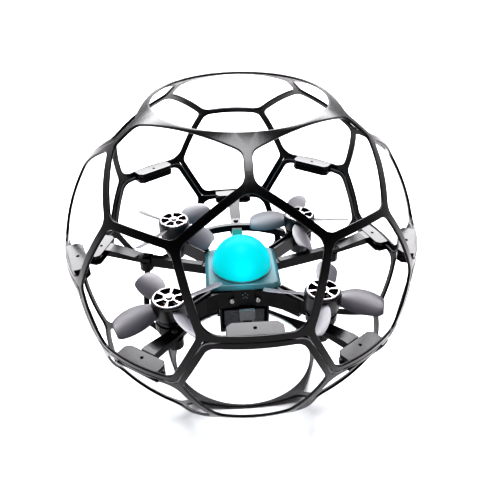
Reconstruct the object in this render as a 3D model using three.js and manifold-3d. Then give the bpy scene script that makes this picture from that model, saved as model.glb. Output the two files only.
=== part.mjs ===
// A racing drone inside a protective ball cage: a two-part lattice sphere with a four-rotor drone held at
// its middle by five bars. Millimetres, +Z up, the drone's nose towards -Y, origin at the ball's centre.
import * as THREE from "three";
import { mergeVertices } from "three/addons/utils/BufferGeometryUtils.js";
import Module from "manifold-3d";

const wasm = await Module();
wasm.setup();

// ---------------------------------------------------------------- driving dimensions
const GAP = 0.3; // clearance between neighbouring pieces

// ball cage
const BALL_RADIUS = 100;
const CAGE_DEPTH = 1.6; // radial depth of every strut
const STRUT_WIDTH = 4;
const BELT_HALF = 3.4; // width of each half's share of a belt strut
const WINDOW_FILLET = 6.5;
const WIDE_FILLET = 9.5; // at the two lower corners of each pentagon
const SECTORS = 5; // the lattice repeats five times round the vertical axis
const SECTOR = 72; // degrees
const APEX_POLAR = 42.4; // polar angles of the lattice's nodes, degrees
const SHOULDER_POLAR = 59;
const FOOT_UPPER = 82.8; // the belt's high nodes, measured from the top
const FOOT_LOWER = 79.9; // the belt's low nodes, measured from the bottom
const SHOULDER_SPREAD = 23.2; // azimuth either side of a pentagon's middle, degrees
const FOOT_SPREAD = 13.6;
const RING_NODE_POLAR = 32.6;
const RING_OUTER = 46.3; // the flat rim of the round opening
const RING_INNER = 45;

// flange tabs that join the two halves
const TAB_INNER = 88.3; // distance of the tab's inner edge from the vertical axis
const TAB_OUTER = 97.5;
const TAB_HALF = 13;
const TAB_CHAMFER = 2.6;
const TAB_SCREW = 92.6; // distance of the screw from the vertical axis
const HIGH_TAB = { top: 16, over: 13.2, under: 12.7, bottom: 9.5 }; // two plates meeting at the seam
const LOW_TAB = { top: -15, over: -17.2, under: -19.8, bottom: -21.4 }; // with a bar's tongue between

// rotors
const MOTOR_X = 41.5;
const MOTOR_Y = 41;
const BELL_TOP = -5;
const BELL_RADIUS = 9.3;
const BELL_BOTTOM = -17;
const HUB_RING = 10.2; // outer radius of the propeller's hub ring
const BLADE_TIP = 33;
const BLADE_COUNT = 4;
const BLADE_PITCH = 32; // degrees at mid span

// drone body
const HUB_X = 21.5; // half width and half length of the body box
const HUB_Y = 20.5;
const HUB_TOP = -18.9;
const HUB_BOTTOM = -31;
const HUB_WALL = 1.6;
const LID_TOP = -15.8;
const DOME_RADIUS = 17.4;
const DOME_CENTRE = -13.9;
const ARM_WIDTH = 4.6;
const ARM_TOP = -17.4;
const MOUNT_RADIUS = 8.8;
const MOUNT_TOP = -20.2;
const MOUNT_FOOT = -33;
const BAR_WIDTH = 8.4; // at the tab
const BAR_NARROW = 6.6; // at the frame
const BAR_FLAT = 8; // length of the level end over the frame's pad
const TONGUE_END = 95.4;
const BAR_TOP = -18.4;
const BAR_THICK = 3;
const PACK = { x: 13, y: 24, top: -33, bottom: -45.4 }; // battery half sizes and heights

// ---------------------------------------------------------------- materials
function finish(color, roughness, metalness = 0) {
  return new THREE.MeshStandardMaterial({ color, roughness, metalness });
}
const NYLON = finish(0x2b2a2d, 0.5);
const BODY_PLASTIC = finish(0x1d1d21, 0.45);
const LID_PLASTIC = finish(0x3a3f44, 0.5);
const BLADE_PLASTIC = finish(0x4a484f, 0.35);
const DOME_PLASTIC = finish(0x00e8f2, 0.3);
const ALUMINIUM = finish(0xc9c6ca, 0.35, 1);
const STEEL = finish(0x9a9a9e, 0.3, 1);
const COPPER = finish(0x9a5a34, 0.45, 1);
const BOARD = finish(0x14402c, 0.5);
const RUBBER = finish(0x26262a, 0.9);
const CONNECTOR = finish(0x6d7176, 0.6);
const SLEEVE = finish(0x2f3f66, 0.4);
const WEBBING = finish(0x17171a, 0.9);
const WIRE = finish(0x151518, 0.5);

// ---------------------------------------------------------------- solids
const drone = new THREE.Group();

function solid(geometry) {
  const bare = geometry.clone();
  bare.deleteAttribute("normal");
  bare.deleteAttribute("uv");
  const merged = mergeVertices(bare, 1e-4);
  const triVerts = new Uint32Array(merged.index.array);
  const vertProperties = merged.attributes.position.array;
  return new wasm.Manifold(new wasm.Mesh({ numProp: 3, vertProperties, triVerts }));
}

function geometryOf(body) {
  const mesh = body.getMesh();
  const geometry = new THREE.BufferGeometry();
  geometry.setAttribute("position", new THREE.BufferAttribute(mesh.vertProperties, 3));
  geometry.setIndex(new THREE.BufferAttribute(mesh.triVerts, 1));
  return geometry;
}

function addPart(name, shape, material, parent = drone) {
  const geometry = shape.isBufferGeometry ? shape : geometryOf(shape);
  const mesh = new THREE.Mesh(geometry, material);
  mesh.name = name;
  parent.add(mesh);
  return mesh;
}

function box(x0, x1, y0, y1, z0, z1) {
  const geometry = new THREE.BoxGeometry(x1 - x0, y1 - y0, z1 - z0);
  geometry.translate((x0 + x1) / 2, (y0 + y1) / 2, (z0 + z1) / 2);
  return solid(geometry);
}

// an upright cylinder or cone between two heights
function post(x, y, radius, z0, z1, sides = 16, topRadius = radius) {
  const geometry = new THREE.CylinderGeometry(topRadius, radius, z1 - z0, sides);
  geometry.rotateX(Math.PI / 2);
  geometry.translate(x, y, (z0 + z1) / 2);
  return solid(geometry);
}

// a plan outline, given as [x, y] points, raised between two heights
function plate(points, z0, z1, holes = []) {
  const shape = new THREE.Shape(points.map(([x, y]) => new THREE.Vector2(x, y)));
  shape.holes = holes.map((hole) => new THREE.Path(hole.map(([x, y]) => new THREE.Vector2(x, y))));
  const geometry = new THREE.ExtrudeGeometry(shape, { depth: z1 - z0, bevelEnabled: false });
  geometry.translate(0, 0, z0);
  return solid(geometry);
}

function roundedRectangle(halfX, halfY, corner, steps = 4) {
  const points = [];
  for (let quarter = 0; quarter < 4; quarter++) {
    const cx = (halfX - corner) * (quarter === 0 || quarter === 3 ? 1 : -1);
    const cy = (halfY - corner) * (quarter < 2 ? 1 : -1);
    for (let step = 0; step <= steps; step++) {
      const angle = ((quarter + step / steps) * Math.PI) / 2;
      points.push([cx + corner * Math.cos(angle), cy + corner * Math.sin(angle)]);
    }
  }
  return points;
}

function turned(profile, sides) {
  const geometry = new THREE.LatheGeometry(
    profile.map(([radius, z]) => new THREE.Vector2(radius, z)),
    sides,
  );
  geometry.rotateX(Math.PI / 2);
  return solid(geometry);
}

function joined(bodies) {
  return bodies.reduce((sum, body) => sum.add(body));
}

// ---------------------------------------------------------------- ball cage
const toRadians = THREE.MathUtils.degToRad;

function direction(polar, azimuth) {
  const p = toRadians(polar);
  const a = toRadians(azimuth);
  return new THREE.Vector3(Math.sin(p) * Math.sin(a), -Math.sin(p) * Math.cos(a), Math.cos(p));
}

// A lattice point is a pair of positions: one on the outer sphere and one on the inner sphere.
function spherePair(unit) {
  return {
    unit,
    outer: unit.clone().multiplyScalar(BALL_RADIUS),
    inner: unit.clone().multiplyScalar(BALL_RADIUS - CAGE_DEPTH),
  };
}

function rimPair(azimuth) {
  const rimHeight = Math.sqrt(BALL_RADIUS ** 2 - RING_OUTER ** 2);
  const innerHeight = Math.sqrt((BALL_RADIUS - CAGE_DEPTH) ** 2 - RING_INNER ** 2);
  const at = (radius, z) =>
    new THREE.Vector3(radius * Math.sin(azimuth), -radius * Math.cos(azimuth), z);
  return {
    outer: at(RING_OUTER, rimHeight),
    top: at(RING_INNER, rimHeight),
    inner: at(RING_INNER, innerHeight),
  };
}

// the point at given distances inside two great circles, on the same side of the ball as near
function meet(normalA, sineA, normalB, sineB, near) {
  const k = normalA.dot(normalB);
  const a = (sineA - k * sineB) / (1 - k * k);
  const b = (sineB - k * sineA) / (1 - k * k);
  const flat = normalA.clone().multiplyScalar(a).addScaledVector(normalB, b);
  const across = normalA.clone().cross(normalB).normalize();
  if (across.dot(near) < 0) across.negate();
  return flat.addScaledVector(across, Math.sqrt(1 - flat.lengthSq()));
}

// moves a unit vector to a given angular distance inside a great circle
function ontoParallel(unit, normal, sine) {
  const flat = unit.clone().addScaledVector(normal, -normal.dot(unit)).normalize();
  return flat.multiplyScalar(Math.sqrt(1 - sine * sine)).addScaledVector(normal, sine);
}

const ARC_STEPS = 2; // pieces in each rounded corner of a window

// One window: its corners are unit vectors in anticlockwise order seen from outside, halves holds half the
// strut width beyond each edge, and radii the fillet of each corner. arcs[k] is that corner's fillet, and
// edges[k] the straight run from it to the next corner.
function windowOutline(corners, halves, radii, steps) {
  const count = corners.length;
  const normals = corners.map((corner, k) =>
    corner.clone().cross(corners[(k + 1) % count]).normalize(),
  );
  const sines = halves.map((half) => Math.sin(half / BALL_RADIUS));
  const inset = (edge, corner) => Math.sin((halves[edge] + radii[corner]) / BALL_RADIUS);
  const arcs = corners.map((corner, k) => {
    const before = (k + count - 1) % count;
    const centre = meet(normals[before], inset(before, k), normals[k], inset(k, k), corner);
    const from = ontoParallel(centre, normals[before], sines[before]);
    const to = ontoParallel(centre, normals[k], sines[k]);
    const a = from.clone().addScaledVector(centre, -centre.dot(from));
    const b = to.clone().addScaledVector(centre, -centre.dot(to));
    const angle = a.angleTo(b);
    const points = [];
    for (let step = 0; step <= ARC_STEPS; step++) {
      const unit = from.clone().applyAxisAngle(centre, (angle * step) / ARC_STEPS);
      points.push(spherePair(unit));
    }
    return points;
  });
  const edges = corners.map((corner, k) => {
    const next = (k + 1) % count;
    const start = arcs[k][ARC_STEPS];
    const end = arcs[next][0];
    const points = [start];
    for (let step = 1; step < steps[k]; step++) {
      const unit = start.unit.clone().lerp(end.unit, step / steps[k]).normalize();
      points.push(spherePair(ontoParallel(unit, normals[k], sines[k])));
    }
    points.push(end);
    return points;
  });
  return { arcs, edges, normals };
}

// the upper half's lattice, from the polar angles of its high and low belt nodes
function cageShell(foot, dip) {
  const triangles = [];
  const tri = (a, b, c) => triangles.push(a, b, c);
  const quad = (a, b, c, d) => {
    tri(a, b, c);
    tri(a, c, d);
  };
  // outer skin anticlockwise from outside, and the inner skin the other way round
  const skinTri = (a, b, c) => {
    tri(a.outer, b.outer, c.outer);
    tri(a.inner, c.inner, b.inner);
  };
  // left and right run the same way, with the window on the left
  const strip = (left, right) => {
    for (let k = 0; k + 1 < left.length; k++) {
      skinTri(right[k], right[k + 1], left[k + 1]);
      skinTri(right[k], left[k + 1], left[k]);
    }
  };
  const fan = (centre, points) => {
    for (let k = 0; k + 1 < points.length; k++) skinTri(centre, points[k + 1], points[k]);
  };

  const seamSine = Math.sin(GAP / 2 / BALL_RADIUS);
  const half = STRUT_WIDTH / 2;
  const node = (polar, spread) =>
    Array.from({ length: SECTORS }, (_, i) => direction(polar, SECTOR * i + spread));
  const apex = node(APEX_POLAR, 0);
  const right = node(SHOULDER_POLAR, SHOULDER_SPREAD);
  const left = node(SHOULDER_POLAR, -SHOULDER_SPREAD);
  const footRight = node(foot, FOOT_SPREAD);
  const footLeft = node(foot, -FOOT_SPREAD);
  const dipLeft = node(dip, SECTOR / 2 - FOOT_SPREAD);
  const dipRight = node(dip, SECTOR / 2 + FOOT_SPREAD);
  const ring = node(RING_NODE_POLAR, 0);

  const sixFillets = Array(6).fill(WINDOW_FILLET);
  const pentagons = [];
  const upperHexagons = [];
  const beltHexagons = [];
  for (let i = 0; i < SECTORS; i++) {
    const n = (i + 1) % SECTORS;
    pentagons.push(
      windowOutline(
        [apex[i], left[i], footLeft[i], footRight[i], right[i]],
        [half, half, BELT_HALF, half, half],
        [WINDOW_FILLET, WINDOW_FILLET, WIDE_FILLET, WIDE_FILLET, WINDOW_FILLET],
        [2, 2, 3, 2, 2],
      ),
    );
    upperHexagons.push(
      windowOutline(
        [ring[n], ring[i], apex[i], right[i], left[n], apex[n]],
        [half, half, half, half, half, half],
        sixFillets,
        [6, 1, 2, 2, 2, 1],
      ),
    );
    beltHexagons.push(
      windowOutline(
        [left[n], right[i], footRight[i], dipLeft[i], dipRight[i], footLeft[n]],
        [half, half, BELT_HALF, BELT_HALF, BELT_HALF, half],
        sixFillets,
        [2, 2, 2, 3, 2, 2],
      ),
    );
  }

  const windowWall = ({ arcs, edges }) => {
    arcs.forEach((arc, k) => {
      for (const run of [arc, edges[k]]) {
        for (let s = 0; s + 1 < run.length; s++) {
          quad(run[s].outer, run[s + 1].outer, run[s + 1].inner, run[s].inner);
        }
      }
    });
  };
  const mirrored = (run) => [...run].reverse();
  const seamRun = (outline, k) =>
    outline.edges[k].map((point) =>
      spherePair(ontoParallel(point.unit, outline.normals[k], seamSine)),
    );
  const seamCorner = (outlineA, a, outlineB, b, near) =>
    spherePair(meet(outlineA.normals[a], seamSine, outlineB.normals[b], seamSine, near));

  const seam = [];
  const rim = [];
  const azimuthOf = (point) => Math.atan2(point.unit.x, -point.unit.y);
  for (let i = 0; i < SECTORS; i++) {
    const b = (i + SECTORS - 1) % SECTORS;
    const pentagon = pentagons[i];
    const hexagon = upperHexagons[i];
    const belt = beltHexagons[i];
    [pentagon, hexagon, belt].forEach(windowWall);

    // struts
    strip(pentagon.edges[0], mirrored(upperHexagons[b].edges[4])); // apex to left
    strip(pentagon.edges[4], mirrored(hexagon.edges[2])); // right to apex
    strip(pentagon.edges[1], mirrored(beltHexagons[b].edges[5])); // left to left foot
    strip(pentagon.edges[3], mirrored(belt.edges[1])); // right foot to right
    strip(hexagon.edges[1], mirrored(upperHexagons[b].edges[5])); // ring to apex
    strip(hexagon.edges[3], mirrored(belt.edges[0])); // right to the next left

    // belt struts, down to the seam
    const seams = [seamRun(pentagon, 2), seamRun(belt, 2), seamRun(belt, 3), seamRun(belt, 4)];
    strip(pentagon.edges[2], seams[0]);
    strip(belt.edges[2], seams[1]);
    strip(belt.edges[3], seams[2]);
    strip(belt.edges[4], seams[3]);
    const beforeBelt = beltHexagons[b];
    const corners = [
      seamCorner(beforeBelt, 4, pentagon, 2, footLeft[i]),
      seamCorner(pentagon, 2, belt, 2, footRight[i]),
      seamCorner(belt, 2, belt, 3, dipLeft[i]),
      seamCorner(belt, 3, belt, 4, dipRight[i]),
    ];
    corners.forEach((corner, k) => seam.push(corner, ...seams[k]));

    // nodes
    fan(spherePair(apex[i]), [
      ...pentagon.arcs[0],
      ...upperHexagons[b].arcs[5],
      ...hexagon.arcs[2],
      pentagon.arcs[0][0],
    ]);
    fan(spherePair(right[i]), [
      ...pentagon.arcs[4],
      ...hexagon.arcs[3],
      ...belt.arcs[1],
      pentagon.arcs[4][0],
    ]);
    fan(spherePair(left[i]), [
      ...pentagon.arcs[1],
      ...beforeBelt.arcs[0],
      ...upperHexagons[b].arcs[4],
      pentagon.arcs[1][0],
    ]);
    const lastSeam = seamRun(beforeBelt, 4);
    fan(corners[0], [
      lastSeam[lastSeam.length - 1],
      ...beforeBelt.arcs[5],
      ...pentagon.arcs[2],
      seams[0][0],
    ]);
    fan(corners[1], [
      seams[0][seams[0].length - 1],
      ...pentagon.arcs[3],
      ...belt.arcs[2],
      seams[1][0],
    ]);
    fan(corners[2], [seams[1][seams[1].length - 1], ...belt.arcs[3], seams[2][0]]);
    fan(corners[3], [seams[2][seams[2].length - 1], ...belt.arcs[4], seams[3][0]]);

    // round opening
    const ringEdge = hexagon.edges[0];
    const rimRun = ringEdge.map((point) => rimPair(azimuthOf(point)));
    strip(ringEdge, rimRun);
    const from = azimuthOf(upperHexagons[b].edges[0][0]);
    const start = from > azimuthOf(hexagon.arcs[1][0]) ? from - 2 * Math.PI : from;
    const end = azimuthOf(hexagon.arcs[1][0]);
    const webSteps = 4;
    const web = [];
    for (let s = 0; s <= webSteps; s++) web.push(rimPair(start + ((end - start) * s) / webSteps));
    fan(spherePair(ring[i]), [
      ...hexagon.arcs[1],
      ...upperHexagons[b].arcs[0],
      ...web,
      hexagon.arcs[1][0],
    ]);
    rim.push(...web, ...mirrored(rimRun));
  }
  for (let k = 0; k < seam.length; k++) {
    const here = seam[k];
    const next = seam[(k + 1) % seam.length];
    quad(here.outer, here.inner, next.inner, next.outer);
  }
  for (let k = 0; k < rim.length; k++) {
    const here = rim[k];
    const next = rim[(k + 1) % rim.length];
    if (here.outer.distanceTo(next.outer) < 1e-4) continue;
    quad(here.outer, next.outer, next.top, here.top);
    quad(here.top, next.top, next.inner, here.inner);
  }
  const geometry = new THREE.BufferGeometry().setFromPoints(triangles);
  return solid(geometry);
}

function tabPlate(azimuth, z0, z1) {
  const half = TAB_HALF;
  const body = plate(
    [
      [-half, -TAB_OUTER],
      [half, -TAB_OUTER],
      [half, -TAB_INNER - TAB_CHAMFER],
      [half - TAB_CHAMFER, -TAB_INNER],
      [-half + TAB_CHAMFER, -TAB_INNER],
      [-half, -TAB_INNER - TAB_CHAMFER],
    ],
    z0,
    z1,
  );
  return body.rotate([0, 0, azimuth]);
}

const SCREW_HEAD = 1.5;
const SCREW_HEAD_DEPTH = 1.2;
const SCREW_SHANK = 0.8;

// the upper half of a cage: its lattice, and the plates over its high and low belt struts
function cageHalf(foot, dip, highPlate, lowPlate) {
  let half = cageShell(foot, dip);
  for (let i = 0; i < SECTORS; i++) {
    half = half.add(tabPlate(SECTOR * i, ...highPlate));
    half = half.add(tabPlate(SECTOR * (i + 0.5), ...lowPlate));
  }
  return half;
}

function screwAxis(azimuth) {
  const a = toRadians(azimuth);
  return [TAB_SCREW * Math.sin(a), -TAB_SCREW * Math.cos(a)];
}

// the recess and clearance hole for one tab screw, whose head lies just under the height top
function screwWay(azimuth, top, bottom) {
  const [x, y] = screwAxis(azimuth);
  const recess = post(x, y, SCREW_HEAD + GAP, top - SCREW_HEAD_DEPTH - GAP, top + 2, 10);
  return recess.add(post(x, y, SCREW_SHANK + GAP, bottom - 3, top, 8));
}

function buildCage() {
  let upper = cageHalf(
    FOOT_UPPER,
    180 - FOOT_LOWER,
    [HIGH_TAB.over, HIGH_TAB.top],
    [LOW_TAB.over, LOW_TAB.top],
  );
  let lower = cageHalf(
    FOOT_LOWER,
    180 - FOOT_UPPER,
    [-LOW_TAB.under, -LOW_TAB.bottom],
    [-HIGH_TAB.under, -HIGH_TAB.bottom],
  ).rotate([180, 0, 0]);
  for (let i = 0; i < SECTORS * 2; i++) {
    const azimuth = (SECTOR / 2) * i;
    const { top, bottom } = i % 2 ? LOW_TAB : HIGH_TAB;
    const way = screwWay(azimuth, top, bottom);
    upper = upper.subtract(way);
    lower = lower.subtract(way);
    const head = post(0, 0, SCREW_HEAD, -SCREW_HEAD_DEPTH, 0, 10);
    const socket = post(0, 0, 0.65, -0.7, 1, 6);
    const shank = post(0, 0, SCREW_SHANK, bottom - top + 0.5, -SCREW_HEAD_DEPTH + 0.2, 6);
    const screw = addPart(`tab_screw_${i + 1}`, head.subtract(socket).add(shank), STEEL);
    screw.position.set(...screwAxis(azimuth), top - 0.1);
  }
  addPart("cage_upper", upper, NYLON);
  addPart("cage_lower", lower, NYLON);
}

// ---------------------------------------------------------------- rotors
// A closed skin through equal rings of points, with a flat cap on each end.
function lofted(sections) {
  const triangles = [];
  const count = sections[0].length;
  for (let s = 0; s + 1 < sections.length; s++) {
    for (let k = 0; k < count; k++) {
      const n = (k + 1) % count;
      const a = sections[s][k];
      const b = sections[s][n];
      const c = sections[s + 1][n];
      const d = sections[s + 1][k];
      triangles.push(a, b, c, a, c, d);
    }
  }
  const first = sections[0];
  const last = sections[sections.length - 1];
  for (let k = 1; k + 1 < count; k++) {
    triangles.push(first[0], first[k + 1], first[k]);
    triangles.push(last[0], last[k], last[k + 1]);
  }
  return solid(new THREE.BufferGeometry().setFromPoints(triangles));
}

const RING_TOP = -5.8; // the propeller's hub ring round the bell
const RING_BOTTOM = -14.6;
const ROTOR_SIDES = 20;
const BLADE_ROOT = 9.8;
const BLADE_SPAN = [0, 0.3, 0.65, 0.88, 1]; // shares of the span at which chord and twist are given
const BLADE_CHORD = [9.2, 13.4, 14.4, 12.4, 8.8];
const BLADE_SWEEP = [0, 0.2, 0.9, 1.7, 2.2]; // how far the middle of the chord lies back from the radius
const BLADE_TWIST = [6, 2.8, 0, -2.5, -3.5]; // degrees added to the mid-span pitch
const BLADE_THICK = 1.3; // at the root
const BLADE_TAPER = 0.45; // share of that thickness lost at the tip
const BLADE_CAMBER = 0.7;
const BLADE_HEIGHT = -10.2;

// one blade along +X; spin is 1 for a rotor that turns anticlockwise seen from above, -1 for clockwise
function blade(spin) {
  const sections = BLADE_SPAN.map((t, k) => {
    const radius = BLADE_ROOT + t * (BLADE_TIP - BLADE_ROOT);
    const pitch = toRadians(BLADE_PITCH + BLADE_TWIST[k]);
    const thick = BLADE_THICK * (1 - BLADE_TAPER * t);
    const points = [];
    const across = [1, 0.45, -0.45, -1, -0.45, 0.45]; // leading edge first, over the top and back
    const lift = [0, 0.5, 0.42, 0, -0.42, -0.5];
    across.forEach((u, p) => {
      const camber = BLADE_CAMBER * (1 - u * u);
      const chordwise = (u * BLADE_CHORD[k]) / 2 - BLADE_SWEEP[k];
      const normal = camber + lift[p] * thick;
      const y = chordwise * Math.cos(pitch) - normal * Math.sin(pitch);
      const z = chordwise * Math.sin(pitch) + normal * Math.cos(pitch);
      points.push(new THREE.Vector3(radius, spin * y, BLADE_HEIGHT + z));
    });
    return spin > 0 ? points : points.reverse();
  });
  return lofted(sections);
}

function propeller(spin) {
  const ring = post(0, 0, HUB_RING, RING_BOTTOM, RING_TOP, ROTOR_SIDES);
  const bore = post(0, 0, BELL_RADIUS + GAP, BELL_BOTTOM, 0, ROTOR_SIDES);
  const blades = Array.from({ length: BLADE_COUNT }, (_, k) =>
    blade(spin).rotate([0, 0, (360 / BLADE_COUNT) * k]),
  );
  return joined([ring, ...blades]).subtract(bore);
}

const SHAFT_RADIUS = 0.8;
const BELL_WALL = 0.9;
const BELL_FACE = 1.4; // thickness of the bell's vented top
const BOSS_RADIUS = 2.4; // the boss round the shaft under the bell's top
const BOSS_DEPTH = 2.4;
const VENT_COUNT = 6;
const VENT_INNER = 3.5;
const VENT_OUTER = 7.8;
const VENT_SWEEP = 44; // degrees
const STATOR_BASE = -19.9;
const STATOR_BOTTOM = -16; // the wound core
const STATOR_TOP = -9.6;
const STATOR_TEETH = 9;
const TOOTH_RADIUS = 7.8;
const SLOT_RADIUS = 5;

function bell() {
  const skirt = BELL_RADIUS - BELL_WALL;
  const underside = BELL_TOP - BELL_FACE;
  const boss = BELL_TOP - BOSS_DEPTH;
  let body = turned(
    [
      [SHAFT_RADIUS + GAP, boss],
      [BOSS_RADIUS, boss],
      [BOSS_RADIUS, underside],
      [skirt, underside],
      [skirt, BELL_BOTTOM],
      [BELL_RADIUS, BELL_BOTTOM],
      [BELL_RADIUS, BELL_TOP - 0.4],
      [BELL_RADIUS - 0.4, BELL_TOP],
      [SHAFT_RADIUS + GAP, BELL_TOP],
      [SHAFT_RADIUS + GAP, boss],
    ],
    ROTOR_SIDES,
  );
  const arc = toRadians(VENT_SWEEP);
  const steps = 3;
  const points = [];
  for (const [radius, sign] of [
    [VENT_OUTER, 1],
    [VENT_INNER, -1],
  ]) {
    for (let s = 0; s <= steps; s++) {
      const angle = sign * arc * (s / steps - 0.5);
      points.push([radius * Math.cos(angle), radius * Math.sin(angle)]);
    }
  }
  const vent = plate(points, underside - 1, BELL_TOP + 1);
  for (let k = 0; k < VENT_COUNT; k++) {
    body = body.subtract(vent.rotate([0, 0, (360 / VENT_COUNT) * k + 20]));
  }
  return body;
}

function stator() {
  const flange = post(0, 0, 8.2, STATOR_BASE, STATOR_BASE + 1.5);
  const tube = post(0, 0, 2.6, STATOR_BASE + 1.3, STATOR_TOP + 1, 10);
  const outline = [];
  for (let k = 0; k < STATOR_TEETH; k++) {
    const place = (radius, part) => {
      const angle = ((k + part) / STATOR_TEETH) * 2 * Math.PI;
      outline.push([radius * Math.cos(angle), radius * Math.sin(angle)]);
    };
    place(TOOTH_RADIUS, 0.1);
    place(TOOTH_RADIUS, 0.8);
    place(SLOT_RADIUS, 0.85);
    place(SLOT_RADIUS, 1.05);
  }
  const core = plate(outline, STATOR_BOTTOM, STATOR_TOP);
  const bore = post(0, 0, SHAFT_RADIUS + GAP, STATOR_BASE - 1, STATOR_TOP + 2, 10);
  return joined([flange, tube, core]).subtract(bore);
}

function shaft() {
  const rod = post(0, 0, SHAFT_RADIUS, STATOR_BASE + GAP, BELL_TOP + 0.5, 8);
  return rod.add(post(0, 0, 2, BELL_TOP + GAP, BELL_TOP + 1.1, 12, 1.7));
}

// name, side, end, the turn of the blades at rest in degrees, and the way it spins
const ROTORS = [
  { name: "front_left", sx: -1, sy: -1, turn: 30, spin: -1 },
  { name: "front_right", sx: 1, sy: -1, turn: 75, spin: 1 },
  { name: "rear_left", sx: -1, sy: 1, turn: 50, spin: 1 },
  { name: "rear_right", sx: 1, sy: 1, turn: 84, spin: -1 },
];

function buildMotors() {
  for (const rotor of ROTORS) {
    const motor = new THREE.Group();
    motor.position.set(rotor.sx * MOTOR_X, rotor.sy * MOTOR_Y, 0);
    drone.add(motor);
    addPart(`stator_${rotor.name}`, stator(), COPPER, motor);
    const turning = new THREE.Group();
    turning.rotation.z = toRadians(rotor.turn);
    motor.add(turning);
    addPart(`motor_bell_${rotor.name}`, bell(), ALUMINIUM, turning);
    addPart(`propeller_${rotor.name}`, propeller(rotor.spin), BLADE_PLASTIC, turning);
    addPart(`motor_shaft_${rotor.name}`, shaft(), STEEL, turning);
  }
}

// ---------------------------------------------------------------- drone frame
const MOUNT_WAIST = -25; // where each motor mount starts to taper to its foot
const FOOT_RADIUS = 5.6;
// plan outline of one cheek that carries the front wall out into a front arm
const CHEEK = [
  [7, -19.5],
  [7, -21.6],
  [15, -22.6],
  [22, -26.2],
  [30.5, -33.6],
  [33, -31],
  [20, -17.5],
];
const SIDE_SPOKE = 4; // width of the spokes to the side bars
const ARM_REACH = Math.hypot(MOTOR_X, MOTOR_Y);
const armAngle = ({ sx, sy }) => THREE.MathUtils.radToDeg(Math.atan2(sy * MOTOR_Y, sx * MOTOR_X));
const ARM_BOTTOM = -27.2;
const LID_CLEAR = 29.2; // the raised part of each arm starts beyond the lid's corner
const GROOVE_HALF = 1.3; // the wire channel along the top of each arm
const GROOVE_FLOOR = -21;
const SPOKE_TOP = -18;
const SPOKE_BOTTOM = -24.6;
const PAD_RADIUS = 4.4;
const PAD_TOP = BAR_TOP - BAR_THICK - GAP;
const PAD_BOTTOM = -27.5;
const BRACE_RADIUS = 50.6;
const BRACE_WIDTH = 3;
const BRACE_TOP = -16.8;
const BRACE_BOTTOM = -21.5;

const FRONT_SCREWS = [-7.2, 8]; // the sideways places of the two screws in the front wall
const FRONT_SCREW_HEIGHT = -25;
const FRONT_FACE = 22.2; // how far the screws' seats stand forward

// the five bars: azimuth of each, and the distance of its inner screw and inner end from the vertical axis
const BARS = [
  { azimuth: 36, screw: 66.5, start: 61.5, motor: ROTORS[1] },
  { azimuth: 108, screw: 62.5, start: 58.6 },
  { azimuth: 180, screw: 57.5, start: 52.6 },
  { azimuth: 252, screw: 62.5, start: 58.6 },
  { azimuth: 324, screw: 66.5, start: 61.5, motor: ROTORS[0] },
];

// a level bar along -Y turned to an azimuth, between two distances from the vertical axis
function radialBar(azimuth, from, to, width, z0, z1) {
  return box(-width / 2, width / 2, -to, -from, z0, z1).rotate([0, 0, azimuth]);
}

function onAzimuth(azimuth, distance) {
  const a = toRadians(azimuth);
  return [distance * Math.sin(a), -distance * Math.cos(a)];
}

function braceArc() {
  const points = [];
  const steps = 10;
  const sweep = Math.PI / 2;
  for (const [radius, sign] of [
    [BRACE_RADIUS - BRACE_WIDTH / 2, 1],
    [BRACE_RADIUS + BRACE_WIDTH / 2, -1],
  ]) {
    for (let s = 0; s <= steps; s++) {
      const angle = Math.PI / 2 - sign * sweep * (s / steps - 0.5);
      points.push([radius * Math.cos(angle), radius * Math.sin(angle)]);
    }
  }
  let brace = plate(points, BRACE_BOTTOM, BRACE_TOP);
  for (const side of [-1, 1]) {
    brace = brace.subtract(post(side * MOTOR_X, MOTOR_Y, BELL_RADIUS + 1, MOUNT_TOP, 0));
  }
  return brace;
}

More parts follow.
